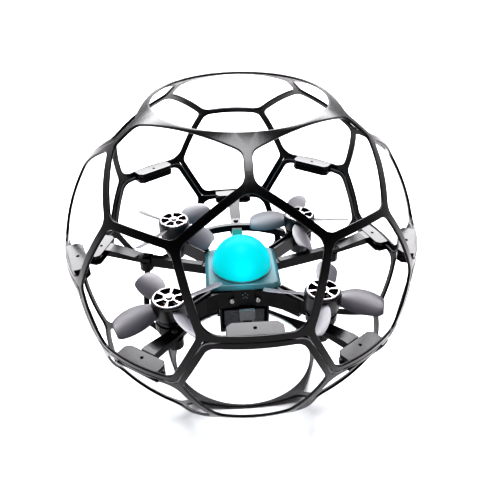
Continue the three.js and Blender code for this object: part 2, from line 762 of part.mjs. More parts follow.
function droneFrame() {
  const shell = plate(roundedRectangle(HUB_X, HUB_Y, 4), HUB_BOTTOM, HUB_TOP);
  const pieces = [shell];
  for (const rotor of ROTORS) {
    const angle = armAngle(rotor);
    const root = box(24, 32, -ARM_WIDTH / 2, ARM_WIDTH / 2, ARM_BOTTOM, HUB_TOP);
    const beam = box(LID_CLEAR, ARM_REACH, -ARM_WIDTH / 2, ARM_WIDTH / 2, ARM_BOTTOM, ARM_TOP);
    const arm = root.add(beam);
    const clear = post(ARM_REACH, 0, MOUNT_RADIUS, MOUNT_TOP, 0);
    pieces.push(arm.subtract(clear).rotate([0, 0, angle]));
    const x = rotor.sx * MOTOR_X;
    const y = rotor.sy * MOTOR_Y;
    pieces.push(post(x, y, MOUNT_RADIUS, MOUNT_WAIST, MOUNT_TOP));
    pieces.push(post(x, y, FOOT_RADIUS, MOUNT_FOOT, MOUNT_WAIST, 16, MOUNT_RADIUS));
  }
  for (const side of [-1, 1]) {
    const cheek = CHEEK.map(([x, y]) => [side * x, y]);
    pieces.push(plate(side > 0 ? cheek : cheek.reverse(), HUB_BOTTOM + 0.6, HUB_TOP));
  }
  for (const bar of BARS) {
    const [x, y] = onAzimuth(bar.azimuth, bar.screw);
    pieces.push(post(x, y, PAD_RADIUS, PAD_BOTTOM, PAD_TOP, 12));
    if (bar.motor) {
      const mx = bar.motor.sx * MOTOR_X;
      const my = bar.motor.sy * MOTOR_Y;
      const web = box(0, Math.hypot(x - mx, y - my), -3, 3, PAD_BOTTOM, PAD_TOP);
      const angle = THREE.MathUtils.radToDeg(Math.atan2(y - my, x - mx));
      pieces.push(web.rotate([0, 0, angle]).translate([mx, my, 0]));
    } else {
      const width = bar.azimuth === 180 ? BAR_NARROW : SIDE_SPOKE;
      const clear = bar.azimuth === 180 ? 21.6 : 25;
      pieces.push(radialBar(bar.azimuth, 19, 30, width, SPOKE_BOTTOM, HUB_TOP));
      pieces.push(radialBar(bar.azimuth, clear, bar.start - GAP, width, SPOKE_BOTTOM, SPOKE_TOP));
      pieces.push(radialBar(bar.azimuth, bar.start - 2, bar.screw, SIDE_SPOKE, SPOKE_BOTTOM, PAD_TOP));
    }
  }
  pieces.push(braceArc());
  let frame = joined(pieces);
  const cavity = roundedRectangle(HUB_X - HUB_WALL, HUB_Y - HUB_WALL, 2.6);
  frame = frame.subtract(plate(cavity, HUB_BOTTOM + HUB_WALL, 0));
  for (const rotor of ROTORS) {
    const angle = armAngle(rotor);
    const groove = box(22, ARM_REACH, -GROOVE_HALF, GROOVE_HALF, GROOVE_FLOOR, 0);
    const keep = post(ARM_REACH, 0, MOUNT_RADIUS, -40, MOUNT_TOP);
    frame = frame.subtract(groove.subtract(keep).rotate([0, 0, angle]));
  }
  for (const bar of BARS) {
    const [x, y] = onAzimuth(bar.azimuth, bar.screw);
    frame = frame.subtract(post(x, y, SCREW_SHANK + GAP, -26, 0, 8));
  }
  for (const x of FRONT_SCREWS) {
    const hole = post(0, 0, SCREW_SHANK + GAP, -30, 30, 8).rotate([90, 0, 0]);
    const front = box(x - 3, x + 3, -30, 0, -30, -20);
    frame = frame.subtract(hole.translate([x, 0, FRONT_SCREW_HEIGHT]).intersect(front));
  }
  return frame;
}

// A bar that climbs from its screw on the frame to a low tab, where its tongue lies between the two plates.
function mountBar(bar) {
  const tip = TAB_INNER - GAP;
  const tongueTop = LOW_TAB.over - GAP;
  const tongueBottom = LOW_TAB.under + GAP;
  const foot = BAR_TOP - BAR_THICK;
  const side = [
    [bar.start, BAR_TOP],
    [bar.start, foot],
    [bar.start + BAR_FLAT, foot],
    [tip - 1, tongueBottom],
    [TONGUE_END, tongueBottom],
    [TONGUE_END, tongueTop],
    [tip, tongueTop],
    [tip, LOW_TAB.top],
    [tip - 3, LOW_TAB.top],
    [bar.start + BAR_FLAT, BAR_TOP],
  ];
  const across = plate(side, -BAR_WIDTH / 2, BAR_WIDTH / 2).rotate([90, 0, 0]).rotate([0, 0, -90]);
  const narrow = BAR_NARROW / 2;
  const wide = BAR_WIDTH / 2;
  const plan = [
    [-narrow, -bar.start + 1],
    [-wide, -tip],
    [-wide, -TONGUE_END - 1],
    [wide, -TONGUE_END - 1],
    [wide, -tip],
    [narrow, -bar.start + 1],
  ];
  let body = across.intersect(plate(plan, -40, 0)).rotate([0, 0, bar.azimuth]);
  if (bar.motor) {
    const x = bar.motor.sx * MOTOR_X;
    const y = bar.motor.sy * MOTOR_Y;
    body = body.subtract(post(x, y, MOUNT_RADIUS + GAP, -40, 0));
  }
  const [ix, iy] = onAzimuth(bar.azimuth, bar.screw);
  const [ox, oy] = onAzimuth(bar.azimuth, TAB_SCREW);
  body = body.subtract(post(ix, iy, SCREW_SHANK + GAP, -40, 0, 8));
  return body.subtract(post(ox, oy, SCREW_SHANK + GAP, -40, 0, 8));
}

function buttonScrew(length) {
  const head = post(0, 0, 1.7, 0, 0.9, 10, 1.2);
  const socket = post(0, 0, 0.6, 0.4, 2, 6);
  return head.subtract(socket).add(post(0, 0, SCREW_SHANK, -length, 0.2, 6));
}

function buildFrame() {
  addPart("drone_frame", droneFrame(), BODY_PLASTIC);
  BARS.forEach((bar, k) => {
    addPart(`mount_bar_${k + 1}`, mountBar(bar), NYLON);
    const screw = addPart(`bar_screw_${k + 1}`, buttonScrew(6.5), STEEL);
    screw.position.set(...onAzimuth(bar.azimuth, bar.screw), BAR_TOP + GAP);
  });
  FRONT_SCREWS.forEach((x, k) => {
    const turnedScrew = buttonScrew(2.6).rotate([90, 0, 0]);
    const screw = addPart(`front_screw_${k + 1}`, turnedScrew, STEEL);
    screw.position.set(x, -FRONT_FACE - GAP, FRONT_SCREW_HEIGHT);
  });
  for (const rotor of ROTORS) {
    const angle = armAngle(rotor);
    const bundle = box(23, ARM_REACH - MOUNT_RADIUS - 0.6, -1, 1, GROOVE_FLOOR + GAP, -19.2);
    addPart(`motor_wires_${rotor.name}`, bundle.rotate([0, 0, angle]), WIRE);
  }
}

// ---------------------------------------------------------------- lid, dome and electronics
const DOME_WALL = 1.2;
const DOME_STEPS = 6;
const DOME_SIDES = 24;
const BOARD_HALF = 14.5;
const BOARD_HOLE = 12; // distance of each board hole from the board's middle, along X and Y
const BOARD_THICK = 1.2;
const SPEED_BOARD = -27.7; // underside of each stacked board
const FLIGHT_BOARD = -23.7;
const POST_RADIUS = 1.6; // a damper's waist, which passes through the boards
const BULGE_RADIUS = 2.6;
const LED_COUNT = 6;

function outlineAt(points, z) {
  return points.map(([x, y]) => new THREE.Vector3(x, y, z));
}

function topLid() {
  const bottom = HUB_TOP + GAP;
  const body = lofted([
    outlineAt(roundedRectangle(HUB_X + 0.6, HUB_Y + 0.6, 4.4), bottom),
    outlineAt(roundedRectangle(HUB_X + 0.6, HUB_Y + 0.6, 4.4), bottom + 0.9),
    outlineAt(roundedRectangle(HUB_X - 1.6, HUB_Y - 1.6, 3.4), LID_TOP),
  ]);
  const underside = roundedRectangle(HUB_X - HUB_WALL, HUB_Y - HUB_WALL, 2.6);
  const wireHole = post(0, 0, 2, -30, 0, 10);
  return body.subtract(plate(underside, -30, bottom + 1.3)).subtract(wireHole);
}

function domeCover() {
  const bottom = LID_TOP + GAP;
  const quarter = (radius, base) => {
    const points = [[radius, base]];
    for (let s = 0; s < DOME_STEPS; s++) {
      const angle = (Math.PI / 2) * (s / DOME_STEPS);
      points.push([radius * Math.cos(angle), DOME_CENTRE + radius * Math.sin(angle)]);
    }
    return [...points, [0, DOME_CENTRE + radius]];
  };
  const outer = turned([[0, bottom], ...quarter(DOME_RADIUS, bottom)], DOME_SIDES);
  const inner = turned([[0, bottom - 1], ...quarter(DOME_RADIUS - DOME_WALL, bottom - 1)], DOME_SIDES);
  return outer.subtract(inner);
}

function ledBoard() {
  const bottom = LID_TOP + GAP;
  const pieces = [post(0, 0, 12, bottom, bottom + 1)];
  for (let k = 0; k < LED_COUNT; k++) {
    const led = box(7.2, 9.8, -1.3, 1.3, bottom + 0.9, bottom + 2);
    pieces.push(led.rotate([0, 0, (360 / LED_COUNT) * k]));
  }
  return joined(pieces).subtract(post(0, 0, 2, -30, 0, 10));
}

function circuitBoard(z, chips) {
  const pieces = [plate(roundedRectangle(BOARD_HALF, BOARD_HALF, 3, 3), z, z + BOARD_THICK)];
  for (const [x, y, w, d, h] of chips) {
    pieces.push(box(x - w / 2, x + w / 2, y - d / 2, y + d / 2, z + 1, z + BOARD_THICK + h));
  }
  let board = joined(pieces);
  for (const [x, y] of boardHoles()) {
    board = board.subtract(post(x, y, POST_RADIUS + GAP, z - 1, z + 4, 8));
  }
  return board;
}

function boardHoles() {
  return [
    [BOARD_HOLE, BOARD_HOLE],
    [-BOARD_HOLE, BOARD_HOLE],
    [-BOARD_HOLE, -BOARD_HOLE],
    [BOARD_HOLE, -BOARD_HOLE],
  ];
}

function damper() {
  return turned(
    [
      [0, HUB_BOTTOM + HUB_WALL + GAP],
      [BULGE_RADIUS, HUB_BOTTOM + HUB_WALL + GAP],
      [BULGE_RADIUS, SPEED_BOARD - GAP],
      [POST_RADIUS, SPEED_BOARD - GAP],
      [POST_RADIUS, SPEED_BOARD + BOARD_THICK + GAP],
      [BULGE_RADIUS, SPEED_BOARD + BOARD_THICK + GAP],
      [BULGE_RADIUS, FLIGHT_BOARD - GAP],
      [POST_RADIUS, FLIGHT_BOARD - GAP],
      [POST_RADIUS, FLIGHT_BOARD + BOARD_THICK + 0.9],
      [0, FLIGHT_BOARD + BOARD_THICK + 0.9],
    ],
    8,
  );
}

function buildElectronics() {
  addPart("top_lid", topLid(), LID_PLASTIC);
  addPart("light_dome", domeCover(), DOME_PLASTIC);
  addPart("led_board", ledBoard(), BOARD);
  // each chip's place, width, length and height
  const speedChips = [
    [-8, 4, 4, 5, 1],
    [8, 4, 4, 5, 1],
    [-8, -4, 4, 5, 1],
    [8, -4, 4, 5, 1],
    [0, 0, 6, 6, 0.9],
  ];
  const flightChips = [
    [0, 2, 7, 7, 1],
    [0, -7, 4, 4, 0.9],
    [9, 0, 3, 8, 1.2],
    [-9, 0, 3, 8, 1.2],
  ];
  addPart("speed_controller", circuitBoard(SPEED_BOARD, speedChips), BOARD);
  addPart("flight_controller", circuitBoard(FLIGHT_BOARD, flightChips), BOARD);
  boardHoles().forEach(([x, y], k) => {
    addPart(`board_damper_${k + 1}`, damper(), RUBBER).position.set(x, y, 0);
  });
  const receiver = box(-7, 7, 15.6, 17, -28.8, -20.4).add(box(-4, 3, 16.8, 18.2, -27, -22));
  addPart("receiver", receiver, BOARD);
}

// ---------------------------------------------------------------- battery
const TRAY_WALL = 1.3;
const TRAY_LENGTH = 22;
const STRAP_HALF = 8;
const STRAP_THICK = 1;

function batteryTray() {
  const outer = PACK.x + GAP + TRAY_WALL;
  const top = HUB_BOTTOM - GAP;
  const floor = PACK.bottom - GAP;
  const shell = box(-outer, outer, -TRAY_LENGTH, TRAY_LENGTH, floor - TRAY_WALL, top);
  const inside = PACK.x + GAP;
  let tray = shell.subtract(box(-inside, inside, -30, 30, floor, 0));
  const slot = box(-30, 30, -STRAP_HALF - 0.6, STRAP_HALF + 0.6, PACK.top - GAP, 0);
  tray = tray.subtract(slot);
  for (const sx of [-1, 1]) {
    for (const sy of [-1, 1]) {
      const x = sx * (outer - 1.5);
      const y = sy * (TRAY_LENGTH - 1.5);
      tray = tray.add(box(x - 1.5, x + 1.5, y - 1.5, y + 1.5, floor - 3, floor - 0.5));
    }
  }
  return tray;
}

function batteryStrap() {
  const x = PACK.x + GAP + TRAY_WALL + GAP;
  const top = HUB_BOTTOM - GAP;
  const bottom = PACK.bottom - GAP - TRAY_WALL - GAP;
  const t = STRAP_THICK;
  const outer = box(-x - t, x + t, -STRAP_HALF, STRAP_HALF, bottom - t, top);
  return outer.subtract(box(-x, x, -20, 20, bottom, top - t));
}

function buildBattery() {
  const pack = plate(roundedRectangle(PACK.x, PACK.y - 1, 1.6), PACK.bottom, PACK.top);
  addPart("battery", pack.translate([0, 2, 0]), SLEEVE);
  addPart("battery_tray", batteryTray(), BODY_PLASTIC);
  addPart("battery_strap", batteryStrap(), WEBBING);
  const plug = box(-3, 6.2, -24, -21 - GAP, -38, -32);
  const skirt = box(-2.4, 5.6, -23.4, -21 - GAP, -42, -37.9);
  const mouth = box(-1.2, 4.4, -26, -22.2, -41.2, -39.2);
  addPart("power_plug", plug.add(skirt).subtract(mouth), CONNECTOR);
}

buildCage();
buildMotors();
buildFrame();
buildElectronics();
buildBattery();

export default drone;
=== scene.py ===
"""Looks of the caged racing drone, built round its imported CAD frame. Tables hold millimetres."""
import math

import bmesh
import bpy
from mathutils import Matrix, Vector


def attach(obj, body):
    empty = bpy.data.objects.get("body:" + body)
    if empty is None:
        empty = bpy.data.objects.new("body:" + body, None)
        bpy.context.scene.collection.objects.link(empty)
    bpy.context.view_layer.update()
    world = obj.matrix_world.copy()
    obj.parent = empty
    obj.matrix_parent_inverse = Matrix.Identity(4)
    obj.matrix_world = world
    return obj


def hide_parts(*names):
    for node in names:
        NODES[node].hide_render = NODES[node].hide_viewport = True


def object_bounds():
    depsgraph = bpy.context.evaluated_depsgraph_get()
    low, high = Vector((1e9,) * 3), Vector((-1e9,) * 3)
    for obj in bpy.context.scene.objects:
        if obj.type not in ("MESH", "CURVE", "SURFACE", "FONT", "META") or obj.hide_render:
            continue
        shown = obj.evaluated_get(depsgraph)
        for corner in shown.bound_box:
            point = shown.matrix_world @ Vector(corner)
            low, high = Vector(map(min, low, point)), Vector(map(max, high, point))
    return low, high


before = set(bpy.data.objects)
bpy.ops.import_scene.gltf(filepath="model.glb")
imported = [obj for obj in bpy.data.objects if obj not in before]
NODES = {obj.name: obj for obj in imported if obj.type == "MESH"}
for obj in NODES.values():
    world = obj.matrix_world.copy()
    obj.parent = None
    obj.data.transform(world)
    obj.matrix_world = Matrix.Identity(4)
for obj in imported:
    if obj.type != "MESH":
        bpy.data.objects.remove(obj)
cad_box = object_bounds()
AIRFRAME = "airframe_and_cage"
MM = 0.001

# ---------------------------------------------------------------- dimensions
# the lattice: polar angles are from +Z, azimuths from the nose, both in degrees
SPHERE = 100  # strut widths and fillets are arcs on a sphere of this radius
OUTER, INNER = 99.75, 98.3  # cage skin radii
STRUT_HALF, BELT_HALF = 2.05, 3.4
SMALL_FILLET, WIDE_FILLET = 6.5, 9.5
SECTORS, SECTOR, HALF_SECTOR = 5, 72, 36
APEX, SHOULDER, FOOT_UPPER, FOOT_LOWER, RING_NODE = 42.4, 59, 82.8, 79.9, 32.6
SHOULDER_SPREAD, FOOT_SPREAD = 23.2, 13.6
RIM_OUTER, RIM_INNER = 46.3, 45.0
ARC_STEPS, WEB_STEPS, SEAM_STEPS = 8, 10, 6  # points along the fillets, the rim webs and the seam's bends
STRUT_STEPS, BELT_STEPS, RIM_STEPS, CROWN_STEPS = 6, 9, 18, 3  # points along the windows' edges
SEAM_GAP = 0.12  # half the gap between the cage halves
SEAM_FILLET = 7
# the light grey strip laid in the seam is partly a painted highlight of the seam's ledge
SEAM_SECTION = ((99.97, 0.1), (99.97, -0.55), (98.0, -0.55), (98.0, 0.1))  # radius, height above the seam

# the plates that join the cage halves, and their screws
TAB_INNER, TAB_OUTER, TAB_HALF, TAB_SCREW = 88.3, 97.5, 13, 92.6
TAB_CHAMFER, TAB_ROUND = 2.4, 1.2
HIGH_TAB = {"top": 16, "over": 13.2, "under": 12.7, "bottom": 9.5}
LOW_TAB = {"top": -15, "over": -17.2, "under": -19.8, "bottom": -21.4}
WELL_RADIUS, WELL_DEPTH = 0.62, 1.5
BOLT_SINK, BOLT_CLEAR = 0.7, 0.2  # the head lies below the plate's top, the tip above its bottom
BOLT_THREAD, BOLT_HEAD, BOLT_SOCKET = 0.5, 0.58, 0.35

# the motors and propellers
BELL_TOP, BELL_RADIUS, BELL_BOTTOM, BELL_WALL = -5, 9.3, -17, 0.9
HUB_RING, HUB_LOW, HUB_HIGH, HUB_FIT = 10.15, -14.5, -6.2, 0.25
VENTS, VENT_INNER, VENT_OUTER, VENT_SWEEP, VENT_TURN = 6, 3.3, 8.1, 47, 20
MAGNETS, MAGNET_HALF = 14, 1.5
SLOTS, TOOTH_LOW, TOOTH_HIGH = 9, -15.9, -9.7
COIL_START, COIL_PITCH, COIL_RINGS, COIL_MIDDLE = 3.6, 0.37, 9, -12.8
SHAFT_RADIUS, SHAFT_FOOT = 0.8, -19.5
BLADES, BLADE_HEIGHT, BLADE_ROOT, BLADE_TIP, BLADE_PITCH = 4, -10.2, 9.7, 32.9, 32
BLADE_THICK, BLADE_THINNING, BLADE_CAMBER, BLADE_SIDES = 1.25, 0.45, 0.7, 24
# each blade table holds (share of the span, value)
CHORD = [(0, 9.0), (0.2, 12.3), (0.42, 14.2), (0.62, 14.3), (0.8, 13.1), (0.94, 11.0), (1, 8.2)]
SWEEP = [(0, 0), (0.3, 0.2), (0.65, 0.9), (0.88, 1.7), (1, 2.2)]  # how far mid-chord lies back
TWIST = [(0, 6), (0.2, 4), (0.42, 1.5), (0.65, 0), (0.84, -2), (1, -3.5)]
SPANS = [0, 0.06, 0.14, 0.24, 0.36, 0.48, 0.6, 0.7, 0.79, 0.86, 0.92, 0.96, 0.985, 1]
ROTORS = {  # x, y, turn of the blades at rest in degrees, and 1 for anticlockwise or -1 for clockwise
    "front_left": (-41.5, -41, 30, -1),
    "front_right": (41.5, -41, 75, 1),
    "rear_left": (-41.5, 41, 50, 1),
    "rear_right": (41.5, 41, 84, -1),
}

# the body, its lid and the dome
HUB_X, HUB_Y, HUB_TOP, LID_TOP = 21.5, 20.5, -18.9, -15.8
LID_CORNER, LID_HOLLOW, LID_GAP = 4.2, 16, 0.3
DOME_RADIUS, DOME_CENTRE, DOME_WALL, DOME_STEPS = 17.4, -13.9, 1.2, 28
BEZEL_WIDTH = 0.75
FRONT_FACE, DOT_RADIUS, DOT_HEIGHT = -21.55, 0.35, 0.35
DOTS = ((0.6, -20.4), (-0.9, -21.5), (2.1, -21.5), (0.6, -22.6), (-0.4, -23.6), (1.6, -23.6))  # x, z
PAINTED_GLOW_POINT, PAINTED_GLOW_NEAR, PAINTED_GLOW_FAR = (0, 36, -17), 7, 12  # where a painted glow stands in for the dome's light on the rear spoke

# ---------------------------------------------------------------- materials


def base_material(name, color, roughness, **sockets):
    """A Principled material; sockets are set by name on the shader itself."""
    material = bpy.data.materials.new(name)
    material.use_nodes = True
    shader = material.node_tree.nodes["Principled BSDF"]
    shader.inputs["Base Color"].default_value = (*color, 1)
    shader.inputs["Roughness"].default_value = roughness
    for socket, value in sockets.items():
        shader.inputs[socket.replace("_", " ")].default_value = value
    return material, material.node_tree, shader


def place_on_object(tree):
    return tree.nodes.new("ShaderNodeTexCoord").outputs["Object"]


def noise(tree, place, scale, detail=2.0):
    made = tree.nodes.new("ShaderNodeTexNoise")
    made.inputs["Scale"].default_value = scale
    made.inputs["Detail"].default_value = detail
    tree.links.new(place, made.inputs["Vector"])
    return made.outputs["Fac"]


def color_ramp(tree, value, colors, positions=(0, 1)):
    made = tree.nodes.new("ShaderNodeValToRGB")
    for element, color, position in zip(made.color_ramp.elements, colors, positions):
        element.position = position
        element.color = (*color, 1)
    tree.links.new(value, made.inputs["Fac"])
    return made.outputs["Color"]


def map_range(tree, value, start=0.0, end=1.0, low=0.0, high=1.0, smooth=False):
    """Maps start..end to low..high; low may be a socket."""
    made = tree.nodes.new("ShaderNodeMapRange")
    if smooth:
        made.interpolation_type = "SMOOTHSTEP"
    made.inputs["From Min"].default_value = start
    made.inputs["From Max"].default_value = end
    if isinstance(low, bpy.types.NodeSocket):
        tree.links.new(low, made.inputs["To Min"])
    else:
        made.inputs["To Min"].default_value = low
    made.inputs["To Max"].default_value = high
    tree.links.new(value, made.inputs["Value"])
    return made.outputs["Result"]


def mix_color(tree, share, first, second):
    """Goes from first to second with share; first may be a socket."""
    made = tree.nodes.new("ShaderNodeMix")
    made.data_type = "RGBA"
    if isinstance(first, bpy.types.NodeSocket):
        tree.links.new(first, made.inputs["A"])
    else:
        made.inputs["A"].default_value = (*first, 1)
    made.inputs["B"].default_value = (*second, 1)
    tree.links.new(share, made.inputs["Factor"])
    return made.outputs["Result"]


def combine(tree, operation, first, second):
    made = tree.nodes.new("ShaderNodeMath")
    made.operation = operation
    tree.links.new(first, made.inputs[0])
    tree.links.new(second, made.inputs[1])
    return made.outputs[0]


def add_relief(tree, shader, height, strength, distance):
    made = tree.nodes.new("ShaderNodeBump")
    made.inputs["Strength"].default_value = strength
    made.inputs["Distance"].default_value = distance
    tree.links.new(height, made.inputs["Height"])
    tree.links.new(made.outputs["Normal"], shader.inputs["Normal"])


def plastic(name, colors, scale, rough, bump, **sockets):
    """Colour drifts slowly between two tones, and a fine grain varies gloss and height."""
    material, tree, shader = base_material(name, colors[0], rough[0], **sockets)
    place = place_on_object(tree)
    grain = noise(tree, place, scale, 3.0)
    tone = color_ramp(tree, noise(tree, place, scale / 14), colors, (0.3, 0.7))
    tree.links.new(tone, shader.inputs["Base Color"])
    tree.links.new(map_range(tree, grain, low=rough[0], high=rough[1]), shader.inputs["Roughness"])
    add_relief(tree, shader, grain, bump, 0.00012)
    return material


def wave(tree, place, kind, axis, scale, distortion):
    made = tree.nodes.new("ShaderNodeTexWave")
    made.wave_type = kind
    made.rings_direction = axis
    made.bands_direction = axis
    made.inputs["Scale"].default_value = scale
    made.inputs["Distortion"].default_value = distortion
    tree.links.new(place, made.inputs["Vector"])
    return made.outputs["Fac"]


def ringed_metal(name, color, dark, scale, rough):
    """Machined metal: fine rings, centred on the ball's Z axis, vary its colour and gloss."""
    material, tree, shader = base_material(name, color, rough, Metallic=1.0)
    rings = wave(tree, place_on_object(tree), "RINGS", "Z", scale, 1.5)
    tree.links.new(mix_color(tree, rings, color, dark), shader.inputs["Base Color"])
    gloss = map_range(tree, rings, low=rough - 0.06, high=rough + 0.1)
    tree.links.new(gloss, shader.inputs["Roughness"])
    return material


# the arguments of plastic are name, two tones, grain scale, roughness range and grain height
NYLON = plastic(
    "moulded_nylon", [(0.0008, 0.0006, 0.0008), (0.0014, 0.0011, 0.0014)], 900, (0.18, 0.26), 0.2,
    Specular_IOR_Level=0.17,
)
# light grey for the front dots, and a painted highlight on the strip in the seam
LIGHT_GREY_AND_SEAM_HIGHLIGHT = plastic("light_grey_and_seam_highlight", [(0.06, 0.06, 0.063), (0.08, 0.08, 0.084)], 700, (0.35, 0.5), 0.15)
BODY = plastic(
    "body_plastic", [(0.0016, 0.0015, 0.0018), (0.003, 0.0028, 0.0032)], 800, (0.26, 0.38), 0.18,
    Specular_IOR_Level=0.16,
)
LID = plastic(
    "lid_plastic", [(0.018, 0.045, 0.05), (0.026, 0.058, 0.063)], 800, (0.35, 0.5), 0.15,
    Specular_IOR_Level=0.2,
)
BLADE = plastic(
    "blade_plastic", [(0.026, 0.0245, 0.03), (0.04, 0.0375, 0.046)], 500, (0.4, 0.5), 0.06,
    Coat_Weight=0.15, Coat_Roughness=0.3,
)
ALUMINIUM = ringed_metal("turned_aluminium", (0.3, 0.287, 0.3), (0.2, 0.19, 0.2), 900, 0.36)
STEEL = ringed_metal("screw_steel", (0.4, 0.39, 0.38), (0.25, 0.24, 0.23), 1500, 0.28)
BLACK_STEEL = plastic(
    "black_steel", [(0.003, 0.003, 0.003), (0.005, 0.005, 0.005)], 900, (0.3, 0.4), 0.1
)
DARK_METAL = ringed_metal("dark_anodising", (0.03, 0.029, 0.031), (0.018, 0.017, 0.019), 900, 0.36)
HUB_PLASTIC = plastic(
    "blade_hub_plastic", [(0.003, 0.003, 0.0035), (0.005, 0.005, 0.006)], 600, (0.3, 0.42), 0.1
)
COPPER = ringed_metal("copper_winding", (0.04, 0.018, 0.01), (0.02, 0.009, 0.005), 1200, 0.45)
CORE = plastic("laminated_core", [(0.004, 0.004, 0.0045), (0.008, 0.008, 0.008)], 700, (0.4, 0.5), 0.2)
BOARD = plastic("circuit_board", [(0.002, 0.008, 0.006), (0.003, 0.013, 0.009)], 600, (0.3, 0.45), 0.15)
RUBBER = plastic("soft_rubber", [(0.003, 0.003, 0.003), (0.005, 0.005, 0.005)], 900, (0.7, 0.85), 0.3)
CONNECTOR = plastic("connector_grey", [(0.07, 0.072, 0.075), (0.1, 0.103, 0.106)], 800, (0.4, 0.5), 0.2)
SLEEVE = plastic("shrink_sleeve", [(0.002, 0.003, 0.006), (0.003, 0.0045, 0.009)], 260, (0.22, 0.34), 0.35)
WIRE = plastic("silicone_wire", [(0.003, 0.003, 0.003), (0.005, 0.005, 0.005)], 700, (0.4, 0.55), 0.2)


def webbing():
    """Woven strap: crossed waves give the ribs."""
    material, tree, shader = base_material("woven_strap", (0.004, 0.004, 0.0045), 0.85)
    place = place_on_object(tree)
    ribs = combine(tree, "MULTIPLY", *(wave(tree, place, "BANDS", axis, 420, 0.6) for axis in "XY"))
    add_relief(tree, shader, ribs, 0.6, 0.0003)
    tone = color_ramp(tree, ribs, [(0.002, 0.002, 0.002), (0.009, 0.009, 0.01)])
    tree.links.new(tone, shader.inputs["Base Color"])
    return material


def glowing_dome():
    """Frosted cyan cover lit from inside, with painted shade: its glow is a little darker low down and
    where it turns away.
    """
    material, tree, shader = base_material(
        "lit_dome", (0.0, 0.05, 0.06), 0.4, Emission_Strength=0.74, Specular_IOR_Level=0.03
    )
    place = place_on_object(tree)
    parts = tree.nodes.new("ShaderNodeSeparateXYZ")
    tree.links.new(place, parts.inputs["Vector"])
    # painted shade: the glow darkens towards the bottom
    height = map_range(tree, parts.outputs["Z"], -0.0155, 0.0035)
    tone = color_ramp(tree, height, [(0.0, 0.66, 0.7), (0.0, 0.8, 0.83)])
    # painted shade: the glow darkens where the surface turns away from the view
    facing = tree.nodes.new("ShaderNodeLayerWeight")
    facing.inputs["Blend"].default_value = 0.35
    tone = mix_color(tree, facing.outputs["Facing"], tone, (0.0, 0.42, 0.46))
    tree.links.new(tone, shader.inputs["Emission Color"])
    add_relief(tree, shader, noise(tree, place, 900), 0.15, 0.0001)
    return material


def paint_glow_spot(material, centre, near, far, color):
    """Painted light: the dome's light on a plastic is painted as a glow round one point; it glows there and
    shines less.
    """
    tree = material.node_tree
    shader = tree.nodes["Principled BSDF"]
    offset, reach = (tree.nodes.new("ShaderNodeVectorMath") for _ in range(2))
    offset.operation, reach.operation = "SUBTRACT", "LENGTH"
    offset.inputs[1].default_value = [value * MM for value in centre]
    tree.links.new(place_on_object(tree), offset.inputs[0])
    tree.links.new(offset.outputs["Vector"], reach.inputs[0])
    share = map_range(tree, reach.outputs["Value"], far * MM, near * MM, smooth=True)
    # painted light: a teal glow, strongest at the point, stands in for the dome's light falling there
    tree.links.new(mix_color(tree, share, (0, 0, 0), color), shader.inputs["Emission Color"])
    shader.inputs["Emission Strength"].default_value = 1
    grain = shader.inputs["Roughness"].links[0].from_socket
    tree.links.new(map_range(tree, share, low=grain, high=0.95), shader.inputs["Roughness"])


WEBBING = webbing()
DOME = glowing_dome()
# painted light: the body plastic glows teal on the rear spoke where the dome's light falls
paint_glow_spot(BODY, PAINTED_GLOW_POINT, PAINTED_GLOW_NEAR, PAINTED_GLOW_FAR, (0.0, 0.26, 0.24))

# ---------------------------------------------------------------- mesh helpers


def mesh_piece(name, bm, material, body=AIRFRAME, bevel=0.0, segments=2, sharp=38, stands_for=()):
    """Turns a bmesh in millimetres into a finished piece that rides on a body and stands for some nodes."""
    bmesh.ops.remove_doubles(bm, verts=bm.verts, dist=1e-4)
    bmesh.ops.recalc_face_normals(bm, faces=bm.faces)
    bmesh.ops.scale(bm, vec=(MM, MM, MM), verts=bm.verts)
    mesh = bpy.data.meshes.new(name)
    bm.to_mesh(mesh)
    bm.free()
    mesh.materials.append(material)
    mesh.shade_smooth()
    piece = bpy.data.objects.new(name, mesh)
    bpy.context.scene.collection.objects.link(piece)
    soften(piece, bevel, segments, sharp)
    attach(piece, body)
    if stands_for:
        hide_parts(*stands_for)
    return piece


def soften(piece, bevel, segments=2, sharp=38):
    """Rounded edges, then normals that keep the flats flat."""
    if bevel:
        edge = piece.modifiers.new("edges", "BEVEL")
        edge.width = bevel * MM
        edge.segments = segments
        edge.limit_method = "ANGLE"
        edge.angle_limit = math.radians(sharp)
        edge.harden_normals = False
        edge.use_clamp_overlap = True
    else:
        piece.data.set_sharp_from_angle(angle=math.radians(sharp))
    normals = piece.modifiers.new("normals", "WEIGHTED_NORMAL")
    normals.keep_sharp = True
    normals.weight = 60


def dress(node, material, bevel=0.0, segments=2, sharp=30):
    """Gives a CAD node its material and rounded edges."""
    piece = NODES[node]
    piece.data.materials.clear()
    piece.data.materials.append(material)
    for face in piece.data.polygons:
        face.use_smooth = True
    soften(piece, bevel, segments, sharp)


def add_ring_faces(bm, rings, capped=True):
    """Joins equal rings of points with quads, and closes the first and last ring if capped."""
    layers = [[bm.verts.new(point) for point in ring] for ring in rings]
    count = len(layers[0])
    for low, high in zip(layers, layers[1:]):
        for k in range(count):
            n = (k + 1) % count
            bm.faces.new((low[k], low[n], high[n], high[k]))
    if capped:
        bm.faces.new(list(reversed(layers[0])))
        bm.faces.new(layers[-1])


def prism(bm, outline, z0, z1, matrix):
    """A plan outline raised from z0 to z1, then placed by the matrix."""
    add_ring_faces(bm, [[matrix @ Vector((x, y, z)) for x, y in outline] for z in (z0, z1)])


